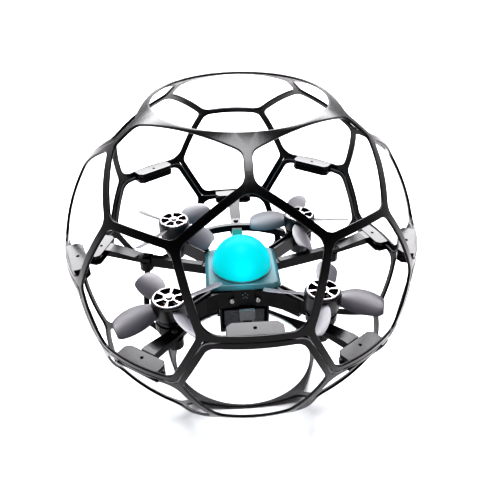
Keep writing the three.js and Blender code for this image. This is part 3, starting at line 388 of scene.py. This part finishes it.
def turned(bm, profile, sides, matrix=None):
    """A closed solid of revolution about Z; profile points are (radius, z), and radius 0 closes it."""
    rings = []
    for k in range(sides):
        angle = 2 * math.pi * k / sides
        ring = [Vector((r * math.cos(angle), r * math.sin(angle), z)) for r, z in profile]
        rings.append([matrix @ point for point in ring] if matrix else ring)
    layers = [[bm.verts.new(point) for point in ring] for ring in rings]
    for k in range(sides):
        low, high = layers[k], layers[(k + 1) % sides]
        for j in range(len(profile) - 1):
            corners = [low[j], high[j], high[j + 1], low[j + 1]]
            if profile[j][0] == 0:
                corners.pop(1)
            elif profile[j + 1][0] == 0:
                corners.pop(2)
            bm.faces.new(corners)


def at(x, y, z=0, turn=0):
    """A place, turned about Z by degrees."""
    return Matrix.Translation((x, y, z)) @ Matrix.Rotation(math.radians(turn), 4, "Z")


def rounded_rectangle(half_x, half_y, corner, steps):
    points = []
    for quarter in range(4):
        cx = (half_x - corner) * (1 if quarter in (0, 3) else -1)
        cy = (half_y - corner) * (1 if quarter < 2 else -1)
        for step in range(steps + 1):
            angle = (quarter + step / steps) * math.pi / 2
            points.append((cx + corner * math.cos(angle), cy + corner * math.sin(angle)))
    return points


def rounded_outline(points, radii, steps=5):
    """Rounds the corners of a plan polygon; radii holds one radius for each corner."""
    out = []
    count = len(points)
    for k, (point, radius) in enumerate(zip(points, radii)):
        here = Vector(point)
        to_back = (Vector(points[k - 1]) - here).normalized()
        to_next = (Vector(points[(k + 1) % count]) - here).normalized()
        half = to_back.angle(to_next) / 2
        if radius <= 0 or half > math.pi / 2 - 0.01:
            out.append(tuple(here))
            continue
        reach = radius / math.tan(half)
        centre = here + (to_back + to_next).normalized() * (radius / math.sin(half))
        start = here + to_back * reach - centre
        end = here + to_next * reach - centre
        sweep = start.angle_signed(end)
        for step in range(steps + 1):
            turn = Matrix.Rotation(-sweep * step / steps, 2)
            out.append(tuple(centre + turn @ start))
    return out


def cut(piece, make, *args):
    """Cuts a hole made by make(bmesh, *args) in millimetres into a piece, before its other modifiers."""
    bm = bmesh.new()
    make(bm, *args)
    bmesh.ops.recalc_face_normals(bm, faces=bm.faces)
    bmesh.ops.scale(bm, vec=(MM, MM, MM), verts=bm.verts)
    mesh = bpy.data.meshes.new("cutter")
    bm.to_mesh(mesh)
    bm.free()
    cutter = bpy.data.objects.new("cutter", mesh)
    bpy.context.scene.collection.objects.link(cutter)
    others = [modifier.name for modifier in piece.modifiers]
    for name in others:
        piece.modifiers[name].show_viewport = False
    hole = piece.modifiers.new("hole", "BOOLEAN")
    hole.operation = "DIFFERENCE"
    hole.solver = "EXACT"
    hole.object = cutter
    bpy.context.view_layer.update()
    graph = bpy.context.evaluated_depsgraph_get()
    cut_mesh = bpy.data.meshes.new_from_object(piece.evaluated_get(graph))
    piece.modifiers.remove(hole)
    piece.data = cut_mesh
    for name in others:
        piece.modifiers[name].show_viewport = True
    bpy.data.objects.remove(cutter)


# ---------------------------------------------------------------- cage


def direction(polar, azimuth):
    """The unit vector at two angles in degrees; azimuth 0 is the nose."""
    p, a = math.radians(polar), math.radians(azimuth)
    return Vector((math.sin(p) * math.sin(a), -math.sin(p) * math.cos(a), math.cos(p)))


def meet(normal_a, sine_a, normal_b, sine_b, near):
    """The unit vector at given distances from two great circles, on the side of near."""
    k = normal_a.dot(normal_b)
    a = (sine_a - k * sine_b) / (1 - k * k)
    b = (sine_b - k * sine_a) / (1 - k * k)
    flat = normal_a * a + normal_b * b
    across = normal_a.cross(normal_b).normalized()
    if across.dot(near) < 0:
        across.negate()
    return flat + across * math.sqrt(1 - flat.length_squared)


def onto_parallel(unit, normal, sine):
    """Moves a unit vector to the given distance from a great circle."""
    flat = (unit - normal * normal.dot(unit)).normalized()
    return flat * math.sqrt(1 - sine * sine) + normal * sine


def corner_arc(centre, start, end, steps):
    """Unit vectors from start to end, turned about the fillet's centre."""
    a = start - centre * centre.dot(start)
    b = end - centre * centre.dot(end)
    sweep = a.angle(b)
    if a.cross(b).dot(centre) < 0:
        sweep = -sweep
    return [Matrix.Rotation(sweep * s / steps, 3, centre) @ start for s in range(steps + 1)]


def sine_of(width):
    """How far off a great circle a width in millimetres reaches on the unit sphere."""
    return math.sin(width / SPHERE)


def window(corners, halves, fillets, steps):
    """A window's rounded outline, anticlockwise from outside: its corner arcs, edges and edge normals."""
    count = len(corners)
    normals = [corners[k].cross(corners[(k + 1) % count]).normalized() for k in range(count)]
    arcs = []
    for k, corner in enumerate(corners):
        before = k - 1
        inset = [sine_of(halves[j] + fillets[k]) for j in (before, k)]
        centre = meet(normals[before], inset[0], normals[k], inset[1], corner)
        start = onto_parallel(centre, normals[before], sine_of(halves[before]))
        end = onto_parallel(centre, normals[k], sine_of(halves[k]))
        arcs.append(corner_arc(centre, start, end, ARC_STEPS))
    edges = []
    for k in range(count):
        start, end = arcs[k][-1], arcs[(k + 1) % count][0]
        run = [start]
        for step in range(1, steps[k]):
            unit = start.lerp(end, step / steps[k]).normalized()
            run.append(onto_parallel(unit, normals[k], sine_of(halves[k])))
        edges.append(run + [end])
    return {"arcs": arcs, "edges": edges, "normals": normals}


def rim_point(azimuth):
    """The three corners of the round opening's rim at one azimuth."""
    height = math.sqrt(OUTER**2 - RIM_OUTER**2)
    inner_height = math.sqrt(INNER**2 - RIM_INNER**2)
    ring = Vector((math.sin(azimuth), -math.cos(azimuth), 0))
    up = Vector((0, 0, 1))
    return {
        "outer": ring * RIM_OUTER + up * height,
        "top": ring * RIM_INNER + up * height,
        "inner": ring * RIM_INNER + up * inner_height,
    }


def pair(unit):
    """The points of both skins in one direction."""
    return {"unit": unit, "outer": unit * OUTER, "inner": unit * INNER}


def cage_shell(foot, dip):
    """The upper half's lattice as a closed bmesh."""
    bm = bmesh.new()

    def face(*points):
        bm.faces.new([bm.verts.new(point) for point in points])

    def skin(a, b, c):
        face(a["outer"], b["outer"], c["outer"])
        face(a["inner"], c["inner"], b["inner"])

    def skin_quad(a, b, c, d):
        face(a["outer"], b["outer"], c["outer"], d["outer"])
        face(a["inner"], d["inner"], c["inner"], b["inner"])

    def strip(left, right):
        for k in range(len(left) - 1):
            skin_quad(right[k], right[k + 1], left[k + 1], left[k])

    def fan(centre, points):
        for here, after in zip(points, points[1:]):
            skin(centre, after, here)

    def ring_of(polar, spread):
        return [direction(polar, SECTOR * i + spread) for i in range(SECTORS)]

    apex = ring_of(APEX, 0)
    right, left = ring_of(SHOULDER, SHOULDER_SPREAD), ring_of(SHOULDER, -SHOULDER_SPREAD)
    foot_right, foot_left = ring_of(foot, FOOT_SPREAD), ring_of(foot, -FOOT_SPREAD)
    dip_left = ring_of(dip, HALF_SECTOR - FOOT_SPREAD)
    dip_right = ring_of(dip, HALF_SECTOR + FOOT_SPREAD)
    crown = ring_of(RING_NODE, 0)
    half, belt_half, small, wide = STRUT_HALF, BELT_HALF, SMALL_FILLET, WIDE_FILLET
    strut, belt_run, rim_edge, short = STRUT_STEPS, BELT_STEPS, RIM_STEPS, CROWN_STEPS

    def lift(outline):
        """Turns the unit vectors of a window's outline into points on both skins."""
        for key in ("arcs", "edges"):
            outline[key] = [[pair(unit) for unit in run] for run in outline[key]]
        return outline

    pentagons, crowns, belts = [], [], []
    for i in range(SECTORS):
        n = (i + 1) % SECTORS
        pentagons.append(lift(window(
            [apex[i], left[i], foot_left[i], foot_right[i], right[i]],
            [half, half, belt_half, half, half],
            [small, small, wide, wide, small],
            [strut, strut, belt_run, strut, strut],
        )))
        crowns.append(lift(window(
            [crown[n], crown[i], apex[i], right[i], left[n], apex[n]],
            [half] * 6,
            [small] * 6,
            [rim_edge, short, strut, strut, strut, short],
        )))
        belts.append(lift(window(
            [left[n], right[i], foot_right[i], dip_left[i], dip_right[i], foot_left[n]],
            [half, half, belt_half, belt_half, belt_half, half],
            [small] * 6,
            [strut, strut, strut, belt_run, strut, strut],
        )))

    seam_sine = sine_of(SEAM_GAP)

    def seam_run(outline, k):
        normal = outline["normals"][k]
        return [pair(onto_parallel(point["unit"], normal, seam_sine)) for point in outline["edges"][k]]

    def seam_corner(a, ka, b, kb, near):
        return pair(meet(a["normals"][ka], seam_sine, b["normals"][kb], seam_sine, near))

    def azimuth_of(point):
        return math.atan2(point["unit"].x, -point["unit"].y)

    seam, rim = [], []
    for i in range(SECTORS):
        pentagon, crown_window, belt = pentagons[i], crowns[i], belts[i]
        crown_before, belt_before = crowns[i - 1], belts[i - 1]
        # the walls of the three windows
        for outline in (pentagon, crown_window, belt):
            for k, arc in enumerate(outline["arcs"]):
                for run in (arc, outline["edges"][k]):
                    for here, after in zip(run, run[1:]):
                        face(here["outer"], after["outer"], after["inner"], here["inner"])
        # the struts between windows
        p, c, t = pentagon["edges"], crown_window["edges"], belt["edges"]
        strip(p[0], crown_before["edges"][4][::-1])
        strip(p[4], c[2][::-1])
        strip(p[1], belt_before["edges"][5][::-1])
        strip(p[3], t[1][::-1])
        strip(c[1], crown_before["edges"][5][::-1])
        strip(c[3], t[0][::-1])
        # the belt, down to the seam
        seams = [seam_run(pentagon, 2)] + [seam_run(belt, k) for k in (2, 3, 4)]
        for edge, run in zip((p[2], t[2], t[3], t[4]), seams):
            strip(edge, run)
        corners = [
            seam_corner(belt_before, 4, pentagon, 2, foot_left[i]),
            seam_corner(pentagon, 2, belt, 2, foot_right[i]),
            seam_corner(belt, 2, belt, 3, dip_left[i]),
            seam_corner(belt, 3, belt, 4, dip_right[i]),
        ]
        for corner, run in zip(corners, seams):
            seam += [corner, *run]
        # the webs where struts meet
        pa, ca, ta = pentagon["arcs"], crown_window["arcs"], belt["arcs"]
        cb, tb = crown_before["arcs"], belt_before["arcs"]
        fan(pair(apex[i]), pa[0] + cb[5] + ca[2] + pa[0][:1])
        fan(pair(right[i]), pa[4] + ca[3] + ta[1] + pa[4][:1])
        fan(pair(left[i]), pa[1] + tb[0] + cb[4] + pa[1][:1])
        last_seam = seam_run(belt_before, 4)
        fan(corners[0], last_seam[-1:] + tb[5] + pa[2] + seams[0][:1])
        fan(corners[1], seams[0][-1:] + pa[3] + ta[2] + seams[1][:1])
        fan(corners[2], seams[1][-1:] + ta[3] + seams[2][:1])
        fan(corners[3], seams[2][-1:] + ta[4] + seams[3][:1])
        # the band and the webs round the open pole
        rim_run = [rim_point(azimuth_of(point)) for point in c[0]]
        strip(c[0], rim_run)
        end = azimuth_of(ca[1][0])
        start = azimuth_of(crown_before["edges"][0][0])
        if start > end:
            start -= 2 * math.pi
        web = [rim_point(start + (end - start) * s / WEB_STEPS) for s in range(WEB_STEPS + 1)]
        fan(pair(crown[i]), ca[1] + cb[0] + web + ca[1][:1])
        rim += web + rim_run[::-1]
    for here, after in zip(seam, seam[1:] + seam[:1]):
        face(here["outer"], here["inner"], after["inner"], after["outer"])
    for here, after in zip(rim, rim[1:] + rim[:1]):
        if (here["outer"] - after["outer"]).length > 1e-3:
            face(here["outer"], after["outer"], after["top"], here["top"])
            face(here["top"], after["top"], after["inner"], here["inner"])
    bmesh.ops.remove_doubles(bm, verts=bm.verts, dist=1e-3)
    return bm


def tab_outline():
    """A join plate in plan, at the nose, with its inner corners cut and rounded."""
    half, inner, outer, chamfer = TAB_HALF, TAB_INNER, TAB_OUTER, TAB_CHAMFER
    points = [(-half, -outer), (half, -outer), (half, -inner - chamfer), (half - chamfer, -inner)]
    points += [(-half + chamfer, -inner), (-half, -inner - chamfer)]
    return rounded_outline(points, [0, 0] + [TAB_ROUND] * 4)


def seam_line():
    """Unit vectors along the zigzag seam, its corners rounded."""
    corners = []
    for i in range(SECTORS):
        a = SECTOR * i
        corners += [
            (direction(FOOT_UPPER, a - FOOT_SPREAD), -1),
            (direction(FOOT_UPPER, a + FOOT_SPREAD), -1),
            (direction(180 - FOOT_LOWER, a + HALF_SECTOR - FOOT_SPREAD), 1),
            (direction(180 - FOOT_LOWER, a + HALF_SECTOR + FOOT_SPREAD), 1),
        ]
    count = len(corners)
    normals = [corners[k][0].cross(corners[(k + 1) % count][0]).normalized() for k in range(count)]
    line = []
    for k, (corner, side) in enumerate(corners):
        inset = side * sine_of(SEAM_FILLET)
        centre = meet(normals[k - 1], inset, normals[k], inset, corner)
        start = onto_parallel(centre, normals[k - 1], 0)
        end = onto_parallel(centre, normals[k], 0)
        line += corner_arc(centre, start, end, SEAM_STEPS)
    return line


def build_join(number, outline):
    """The two plates and the screw of one join between the cage halves."""
    azimuth = (number - 1) * HALF_SECTOR
    tab = HIGH_TAB if number % 2 else LOW_TAB
    x = TAB_SCREW * math.sin(math.radians(azimuth))
    y = -TAB_SCREW * math.cos(math.radians(azimuth))
    for part, z0, z1, node in (
        ("over", tab["over"], tab["top"], "cage_upper"),
        ("under", tab["bottom"], tab["under"], "cage_lower"),
    ):
        bm = bmesh.new()
        prism(bm, outline, z0, z1, at(0, 0, 0, azimuth))
        plate = mesh_piece(
            f"tab_{part}_{number}", bm, NYLON, bevel=0.45, segments=3, stands_for=(node,)
        )
        if part == "over":
            well = [(0, 2.0), (WELL_RADIUS, 2.0), (WELL_RADIUS, -WELL_DEPTH), (0, -WELL_DEPTH)]
            cut(plate, turned, well, 24, at(x, y, tab["top"]))
    seat, tip = tab["top"] - BOLT_SINK, tab["bottom"] + BOLT_CLEAR
    screw = [(0, tip), (BOLT_THREAD, tip), (BOLT_THREAD, seat - 0.9), (BOLT_HEAD, seat - 0.8)]
    screw += [(BOLT_HEAD, seat - 0.1), (BOLT_HEAD - 0.08, seat), (BOLT_SOCKET, seat)]
    screw += [(BOLT_SOCKET - 0.05, seat - 0.4), (0, seat - 0.45)]
    bm = bmesh.new()
    turned(bm, screw, 24, at(x, y))
    mesh_piece(f"tab_bolt_{number}", bm, BLACK_STEEL, stands_for=(f"tab_screw_{number}",))


def build_cage():
    for name, node, foot, dip, flip in (
        ("cage_upper_shell", "cage_upper", FOOT_UPPER, 180 - FOOT_LOWER, False),
        ("cage_lower_shell", "cage_lower", FOOT_LOWER, 180 - FOOT_UPPER, True),
    ):
        bm = cage_shell(foot, dip)
        if flip:
            bmesh.ops.rotate(bm, matrix=Matrix.Rotation(math.pi, 3, "X"), verts=bm.verts)
        mesh_piece(name, bm, NYLON, bevel=0.42, segments=3, stands_for=(node,))
    outline = tab_outline()
    for number in range(1, SECTORS * 2 + 1):
        build_join(number, outline)
    # painted highlight: a light grey strip in the seam, partly standing in for the light its ledge catches
    line = seam_line()
    rings = []
    for k, unit in enumerate(line):
        ahead = line[(k + 1) % len(line)] - line[k - 1]
        up = unit.cross(ahead).normalized()
        rings.append([unit * radius + up * height for radius, height in SEAM_SECTION])
    rings.append(rings[0])
    bm = bmesh.new()
    add_ring_faces(bm, rings, capped=False)
    mesh_piece("painted_seam_highlight", bm, LIGHT_GREY_AND_SEAM_HIGHLIGHT, bevel=0.12, segments=2)


# ---------------------------------------------------------------- rotors


def smooth_table(table, t):
    """The value at t on a Catmull-Rom curve through (t, value) pairs."""
    for k in range(len(table) - 1):
        if t <= table[k + 1][0] or k == len(table) - 2:
            t0, v0 = table[k]
            t1, v1 = table[k + 1]
            before = table[max(k - 1, 0)][1]
            after = table[min(k + 2, len(table) - 1)][1]
            u = (t - t0) / (t1 - t0)
            a = -0.5 * before + 1.5 * v0 - 1.5 * v1 + 0.5 * after
            b = before - 2.5 * v0 + 2 * v1 - 0.5 * after
            c = -0.5 * before + 0.5 * v1
            return ((a * u + b) * u + c) * u + v0
    return table[-1][1]


def blade_rings(spin):
    """Sections of the blade that points along X, from root to tip."""
    rings = []
    for t in SPANS:
        radius = BLADE_ROOT + t * (BLADE_TIP - BLADE_ROOT)
        pitch = math.radians(BLADE_PITCH + smooth_table(TWIST, t))
        chord = smooth_table(CHORD, t)
        thick = BLADE_THICK * (1 - BLADE_THINNING * t) * (0.35 if t == 1 else 1)
        ring = []
        for k in range(BLADE_SIDES):
            angle = 2 * math.pi * k / BLADE_SIDES
            u = math.cos(angle)
            normal = BLADE_CAMBER * (1 - u * u) + 0.5 * thick * math.sin(angle) * (1 - 0.25 * u * u)
            along = u * chord / 2 - smooth_table(SWEEP, t)
            y = along * math.cos(pitch) - normal * math.sin(pitch)
            z = along * math.sin(pitch) + normal * math.cos(pitch)
            ring.append(Vector((radius, spin * y, BLADE_HEIGHT + z)))
        rings.append(ring)
    return rings


def ring_sector(bm, r0, r1, sweep, z0, z1, matrix):
    """A block between two radii that spans an angle round the X direction."""
    outline = []
    for r, sign in ((r1, 1), (r0, -1)):
        for s in range(13):
            angle = math.radians(sign * sweep * (s / 12 - 0.5))
            outline.append((r * math.cos(angle), r * math.sin(angle)))
    prism(bm, outline, z0, z1, matrix)


def vents(bm, matrix):
    """The openings in a bell's face, as cutting blocks."""
    for k in range(VENTS):
        turn = Matrix.Rotation(math.radians(360 / VENTS * k + VENT_TURN), 4, "Z")
        ring_sector(bm, VENT_INNER, VENT_OUTER, VENT_SWEEP, BELL_TOP - 3, BELL_TOP + 2, matrix @ turn)


def around_axis(place, count):
    """Places turned evenly about the Z axis of one place."""
    return [place @ Matrix.Rotation(2 * math.pi * k / count, 4, "Z") for k in range(count)]


def bell_profile(skirt):
    """A motor bell's section: skirt, rounded face with a shallow dish, and the shaft's boss."""
    top, radius = BELL_TOP, BELL_RADIUS
    profile = [(1.15, top - 2.4), (2.6, top - 2.4), (2.9, top - 1.6), (skirt, top - 1.6)]
    profile += [(skirt, BELL_BOTTOM), (radius, BELL_BOTTOM), (radius, top - 0.55)]
    profile += [(radius - 0.55, top), (radius - 1.1, top), (radius - 1.25, top - 0.18)]
    return profile + [(3.4, top - 0.18), (3.2, top), (1.15, top), (1.15, top - 2.4)]


def build_rotor(name, x, y, turn, spin):
    body = f"rotor_{name}"
    place = at(x, y, 0, turn)
    propeller, bell_node = f"propeller_{name}", f"motor_bell_{name}"
    bm = bmesh.new()
    for swing in around_axis(place, BLADES):
        add_ring_faces(bm, [[swing @ point for point in ring] for ring in blade_rings(spin)])
    mesh_piece(f"blades_{name}", bm, BLADE, body, sharp=70, stands_for=(propeller,))

    bm = bmesh.new()
    low, high, inner = HUB_LOW, HUB_HIGH, BELL_RADIUS + HUB_FIT
    hub = [(inner, high), (inner, low), (HUB_RING - 0.35, low), (HUB_RING, low + 0.4)]
    hub += [(HUB_RING, high - 1.2), (HUB_RING - 0.3, high), (inner, high)]
    turned(bm, hub, 72, place)
    mesh_piece(
        f"blade_hub_{name}", bm, HUB_PLASTIC, body, bevel=0.15, stands_for=(propeller,)
    )

    bm = bmesh.new()
    skirt = BELL_RADIUS - BELL_WALL
    turned(bm, bell_profile(skirt), 72, place)
    bell = mesh_piece(
        f"bell_{name}", bm, ALUMINIUM, body, bevel=0.14, stands_for=(bell_node,)
    )
    cut(bell, vents, place)
    bell.data.materials.append(DARK_METAL)  # the face is bare, the skirt and the vents' walls are dark
    for face in bell.data.polygons:
        face.material_index = int(face.center.z < (BELL_TOP - 0.6) * MM)

    bm = bmesh.new()
    back, front, half = skirt - 0.02, skirt - 0.35, MAGNET_HALF
    for matrix in around_axis(place, MAGNETS):
        outline = [(front, -half), (back, -half), (back, half), (front, half)]
        prism(bm, outline, BELL_BOTTOM + 0.6, BELL_TOP - 3, matrix)
    mesh_piece(f"magnets_{name}", bm, STEEL, body, stands_for=(bell_node,))

    bm = bmesh.new()
    foot, rod, top = SHAFT_FOOT, SHAFT_RADIUS, BELL_TOP
    profile = [(0, foot), (rod, foot), (rod, top + 0.35), (1.75, top + 0.35), (1.9, top + 0.5)]
    profile += [(1.7, top + 1.0), (1.2, top + 1.1), (0.75, top + 1.1), (0.65, top + 0.7), (0, top + 0.7)]
    turned(bm, profile, 32, place)
    mesh_piece(f"shaft_{name}", bm, STEEL, body, bevel=0.05, stands_for=(f"motor_shaft_{name}",))
    build_stator(name, at(x, y))


def build_stator(name, place):
    """The laminated core on its base, and a coil on each tooth."""
    node = f"stator_{name}"
    core, coils = bmesh.new(), bmesh.new()
    base = [(1.15, -19.8), (7.6, -19.8), (8.1, -19.3), (8.1, -18.5), (3, -18.5), (2.6, -8.7)]
    turned(core, base + [(1.15, -8.7), (1.15, -19.8)], 48, place)
    tooth = [(2.2, -0.7), (7, -0.7), (7, 0.7), (2.2, 0.7)]
    section = [(-1, -0.92), (-0.8, -1), (0.8, -1), (1, -0.92), (1, 0.92), (0.8, 1), (-0.8, 1), (-1, 0.92)]
    for matrix in around_axis(place, SLOTS):
        prism(core, tooth, TOOTH_LOW, TOOTH_HIGH, matrix)
        ring_sector(core, 6.9, 7.8, 30, TOOTH_LOW, TOOTH_HIGH, matrix)
        rings = []
        for s in range(COIL_RINGS):
            radius = COIL_START + COIL_PITCH * s
            bulge = 0.12 if s % 2 else 0  # one turn of wire every two rings
            half, tall = 1.0 + bulge, 3.5 + bulge
            ring = [Vector((radius, u * half, COIL_MIDDLE + v * tall)) for u, v in section]
            rings.append([matrix @ point for point in ring])
        add_ring_faces(coils, rings)
    mesh_piece(f"core_{name}", core, CORE, stands_for=(node,))
    mesh_piece(f"coils_{name}", coils, COPPER, stands_for=(node,))


# ---------------------------------------------------------------- body, lid and dome


def build_body():
    """Dresses the CAD nodes that show as they are, and adds the dots on the nose."""
    dress("drone_frame", BODY, 0.45, 3)
    dots = bmesh.new()
    section = [(0, 0), (DOT_RADIUS, 0), (DOT_RADIUS, DOT_HEIGHT - 0.05)]
    section += [(DOT_RADIUS - 0.07, DOT_HEIGHT), (0, DOT_HEIGHT)]
    for x, z in DOTS:
        turned(dots, section, 16, at(x, FRONT_FACE, z) @ Matrix.Rotation(math.pi / 2, 4, "X"))
    mesh_piece("front_lamps", dots, LIGHT_GREY_AND_SEAM_HIGHLIGHT)
    for k in range(1, 6):
        dress(f"mount_bar_{k}", NYLON, 0.6, 3)
        dress(f"bar_screw_{k}", BLACK_STEEL, 0.2)
    for k in (1, 2):
        dress(f"front_screw_{k}", STEEL, 0.2, 3)
    for name in ROTORS:
        dress(f"motor_wires_{name}", WIRE, 0.5, 3)
    for node in ("speed_controller", "flight_controller", "receiver", "led_board"):
        dress(node, BOARD, 0.1)
    for k in range(1, 5):
        dress(f"board_damper_{k}", RUBBER, 0.3)
    dress("battery", SLEEVE, 1.1, 4)
    dress("battery_tray", BODY, 0.35, 3)
    dress("battery_strap", WEBBING, 0.35, 3)
    dress("power_plug", CONNECTOR, 0.35, 3)


def build_lid():
    """The lid, stepped at its foot and rounded at its top, with a hollow for the lamp board."""
    base = HUB_TOP + LID_GAP
    levels = [(0.45, base), (0.6, base + 0.2), (0.6, base + 0.75), (0.3, base + 1.15)]
    levels += [(-1.0, LID_TOP - 0.45), (-1.6, LID_TOP - 0.1), (-2.3, LID_TOP)]
    rings = []
    for grow, z in levels:
        outline = rounded_rectangle(HUB_X + grow, HUB_Y + grow, LID_CORNER + grow * 0.5, 8)
        rings.append([Vector((x, y, z)) for x, y in outline])
    bm = bmesh.new()
    add_ring_faces(bm, rings)
    lid = mesh_piece("lid", bm, LID, bevel=0.15, sharp=30, stands_for=("top_lid",))
    ceiling = base + 1.2
    hollow = [(0, -30), (LID_HOLLOW, -30), (LID_HOLLOW, ceiling), (0, ceiling)]
    cut(lid, turned, hollow, 48, at(0, 0))


def build_dome():
    """The lit cover and the thin bezel round its foot."""
    base = LID_TOP + LID_GAP
    skin = DOME_RADIUS - 0.02
    profile = [(DOME_RADIUS - DOME_WALL, base), (DOME_RADIUS - 0.15, base), (skin, base + 0.15)]
    for s in range(DOME_STEPS + 1):
        angle = math.pi / 2 * s / DOME_STEPS
        radius = 0 if s == DOME_STEPS else skin * math.cos(angle)
        profile.append((radius, DOME_CENTRE + skin * math.sin(angle)))
    bm = bmesh.new()
    turned(bm, profile, 96)
    mesh_piece("dome_cover", bm, DOME, sharp=60, stands_for=("light_dome",))
    edge = DOME_RADIUS + BEZEL_WIDTH
    bezel = [(DOME_RADIUS, base), (edge, base), (edge, base + 0.35)]
    bezel += [(DOME_RADIUS, base + 0.6), (DOME_RADIUS, base)]
    bm = bmesh.new()
    turned(bm, bezel, 96)
    mesh_piece("dome_bezel", bm, LID, bevel=0.1, stands_for=("top_lid",))


# ---------------------------------------------------------------- floor, light and camera
FLOOR_HALF, FLOOR_DROP = 30, 0.0002  # metres; the floor lies just under the cage
BACK_LIGHT, TOP_LIGHT, FRONT_LIGHT = 16.0, 27.0, 0.15  # brightness of the studio's bands
GLOW_POWER, REAR_GLOW_POWER = 0.014, 0.05  # watts
GLOW_REACH, GLOW_HEIGHT, GLOW_SIZE = 0.024, -0.006, 0.004  # metres
AZIMUTH, ELEVATION, ROLL = (math.radians(angle) for angle in (-3.46, 33.14, -0.91))
DISTANCE, LENS, SENSOR, SHIFT = 0.336, 40.83, 36, (0.0176, -0.0126)


def build_floor():
    bm = bmesh.new()
    bmesh.ops.create_grid(bm, x_segments=1, y_segments=1, size=FLOOR_HALF)
    mesh = bpy.data.meshes.new("floor")
    bm.to_mesh(mesh)
    bm.free()
    mesh.materials.append(
        base_material("pale_floor", (0.62, 0.61, 0.61), 0.9, Specular_IOR_Level=0.0)[0]
    )
    floor = bpy.data.objects.new("floor", mesh)
    floor.location = (0, 0, cad_box[0][2] - FLOOR_DROP)
    bpy.context.scene.collection.objects.link(floor)


def build_studio():
    """Soft light by direction: a panel behind, one overhead, and a bright horizon for the white floor."""
    world = bpy.data.worlds.new("studio")
    bpy.context.scene.world = world
    world.use_nodes = True
    tree = world.node_tree
    background = tree.nodes["Background"]
    coords = tree.nodes.new("ShaderNodeTexCoord")
    parts = tree.nodes.new("ShaderNodeSeparateXYZ")
    tree.links.new(coords.outputs["Generated"], parts.inputs["Vector"])
    depth, height = parts.outputs["Y"], parts.outputs["Z"]
    rise = map_range(tree, height, 0.32, 0.48, smooth=True)
    fall = map_range(tree, height, 0.7, 0.85, 1, 0, smooth=True)
    behind = map_range(tree, depth, 0.42, 0.7, 0, BACK_LIGHT, smooth=True)
    overhead = map_range(tree, height, 0.945, 0.995, 0, TOP_LIGHT, smooth=True)
    horizon = map_range(tree, height, 0.2, 0.38, 1, FRONT_LIGHT, smooth=True)
    panel = combine(tree, "MULTIPLY", combine(tree, "MULTIPLY", rise, fall), behind)
    total = combine(tree, "ADD", combine(tree, "ADD", panel, overhead), horizon)
    tree.links.new(total, background.inputs["Strength"])
    background.inputs["Color"].default_value = (0.985, 0.975, 1, 1)
    view = bpy.context.scene.view_settings
    view.view_transform = "Standard"
    view.look = "High Contrast"


def build_glow():
    """Cyan spill from the lit dome onto the lid and the parts round it, stronger to the rear."""
    for k in range(4):
        glow = bpy.data.lights.new(f"dome_glow_{k + 1}", "POINT")
        glow.energy = REAR_GLOW_POWER if k == 2 else GLOW_POWER
        glow.color = (0.0, 0.85, 1.0)
        glow.shadow_soft_size = GLOW_SIZE
        lamp = bpy.data.objects.new(glow.name, glow)
        angle = math.radians(90 * k)
        lamp.location = (GLOW_REACH * math.sin(angle), -GLOW_REACH * math.cos(angle), GLOW_HEIGHT)
        lamp.visible_camera = False
        lamp.visible_glossy = False
        bpy.context.scene.collection.objects.link(lamp)


def build_camera():
    back = Vector((
        math.sin(AZIMUTH) * math.cos(ELEVATION),
        -math.cos(AZIMUTH) * math.cos(ELEVATION),
        math.sin(ELEVATION),
    ))
    level = Vector((math.cos(AZIMUTH), math.sin(AZIMUTH), 0))
    upward = back.cross(level)
    right = level * math.cos(ROLL) + upward * math.sin(ROLL)
    up = -level * math.sin(ROLL) + upward * math.cos(ROLL)
    data = bpy.data.cameras.new("camera")
    data.lens = LENS
    data.sensor_width = SENSOR
    data.shift_x, data.shift_y = SHIFT
    data.clip_start = 0.001
    camera = bpy.data.objects.new("camera", data)
    turn = Matrix((right, up, back)).transposed().to_4x4()
    camera.matrix_world = Matrix.Translation(back * DISTANCE) @ turn
    bpy.context.scene.collection.objects.link(camera)
    bpy.context.scene.camera = camera


build_cage()
for rotor, values in ROTORS.items():
    build_rotor(rotor, *values)
build_body()
build_lid()
build_dome()
build_floor()
build_studio()
build_glow()
build_camera()
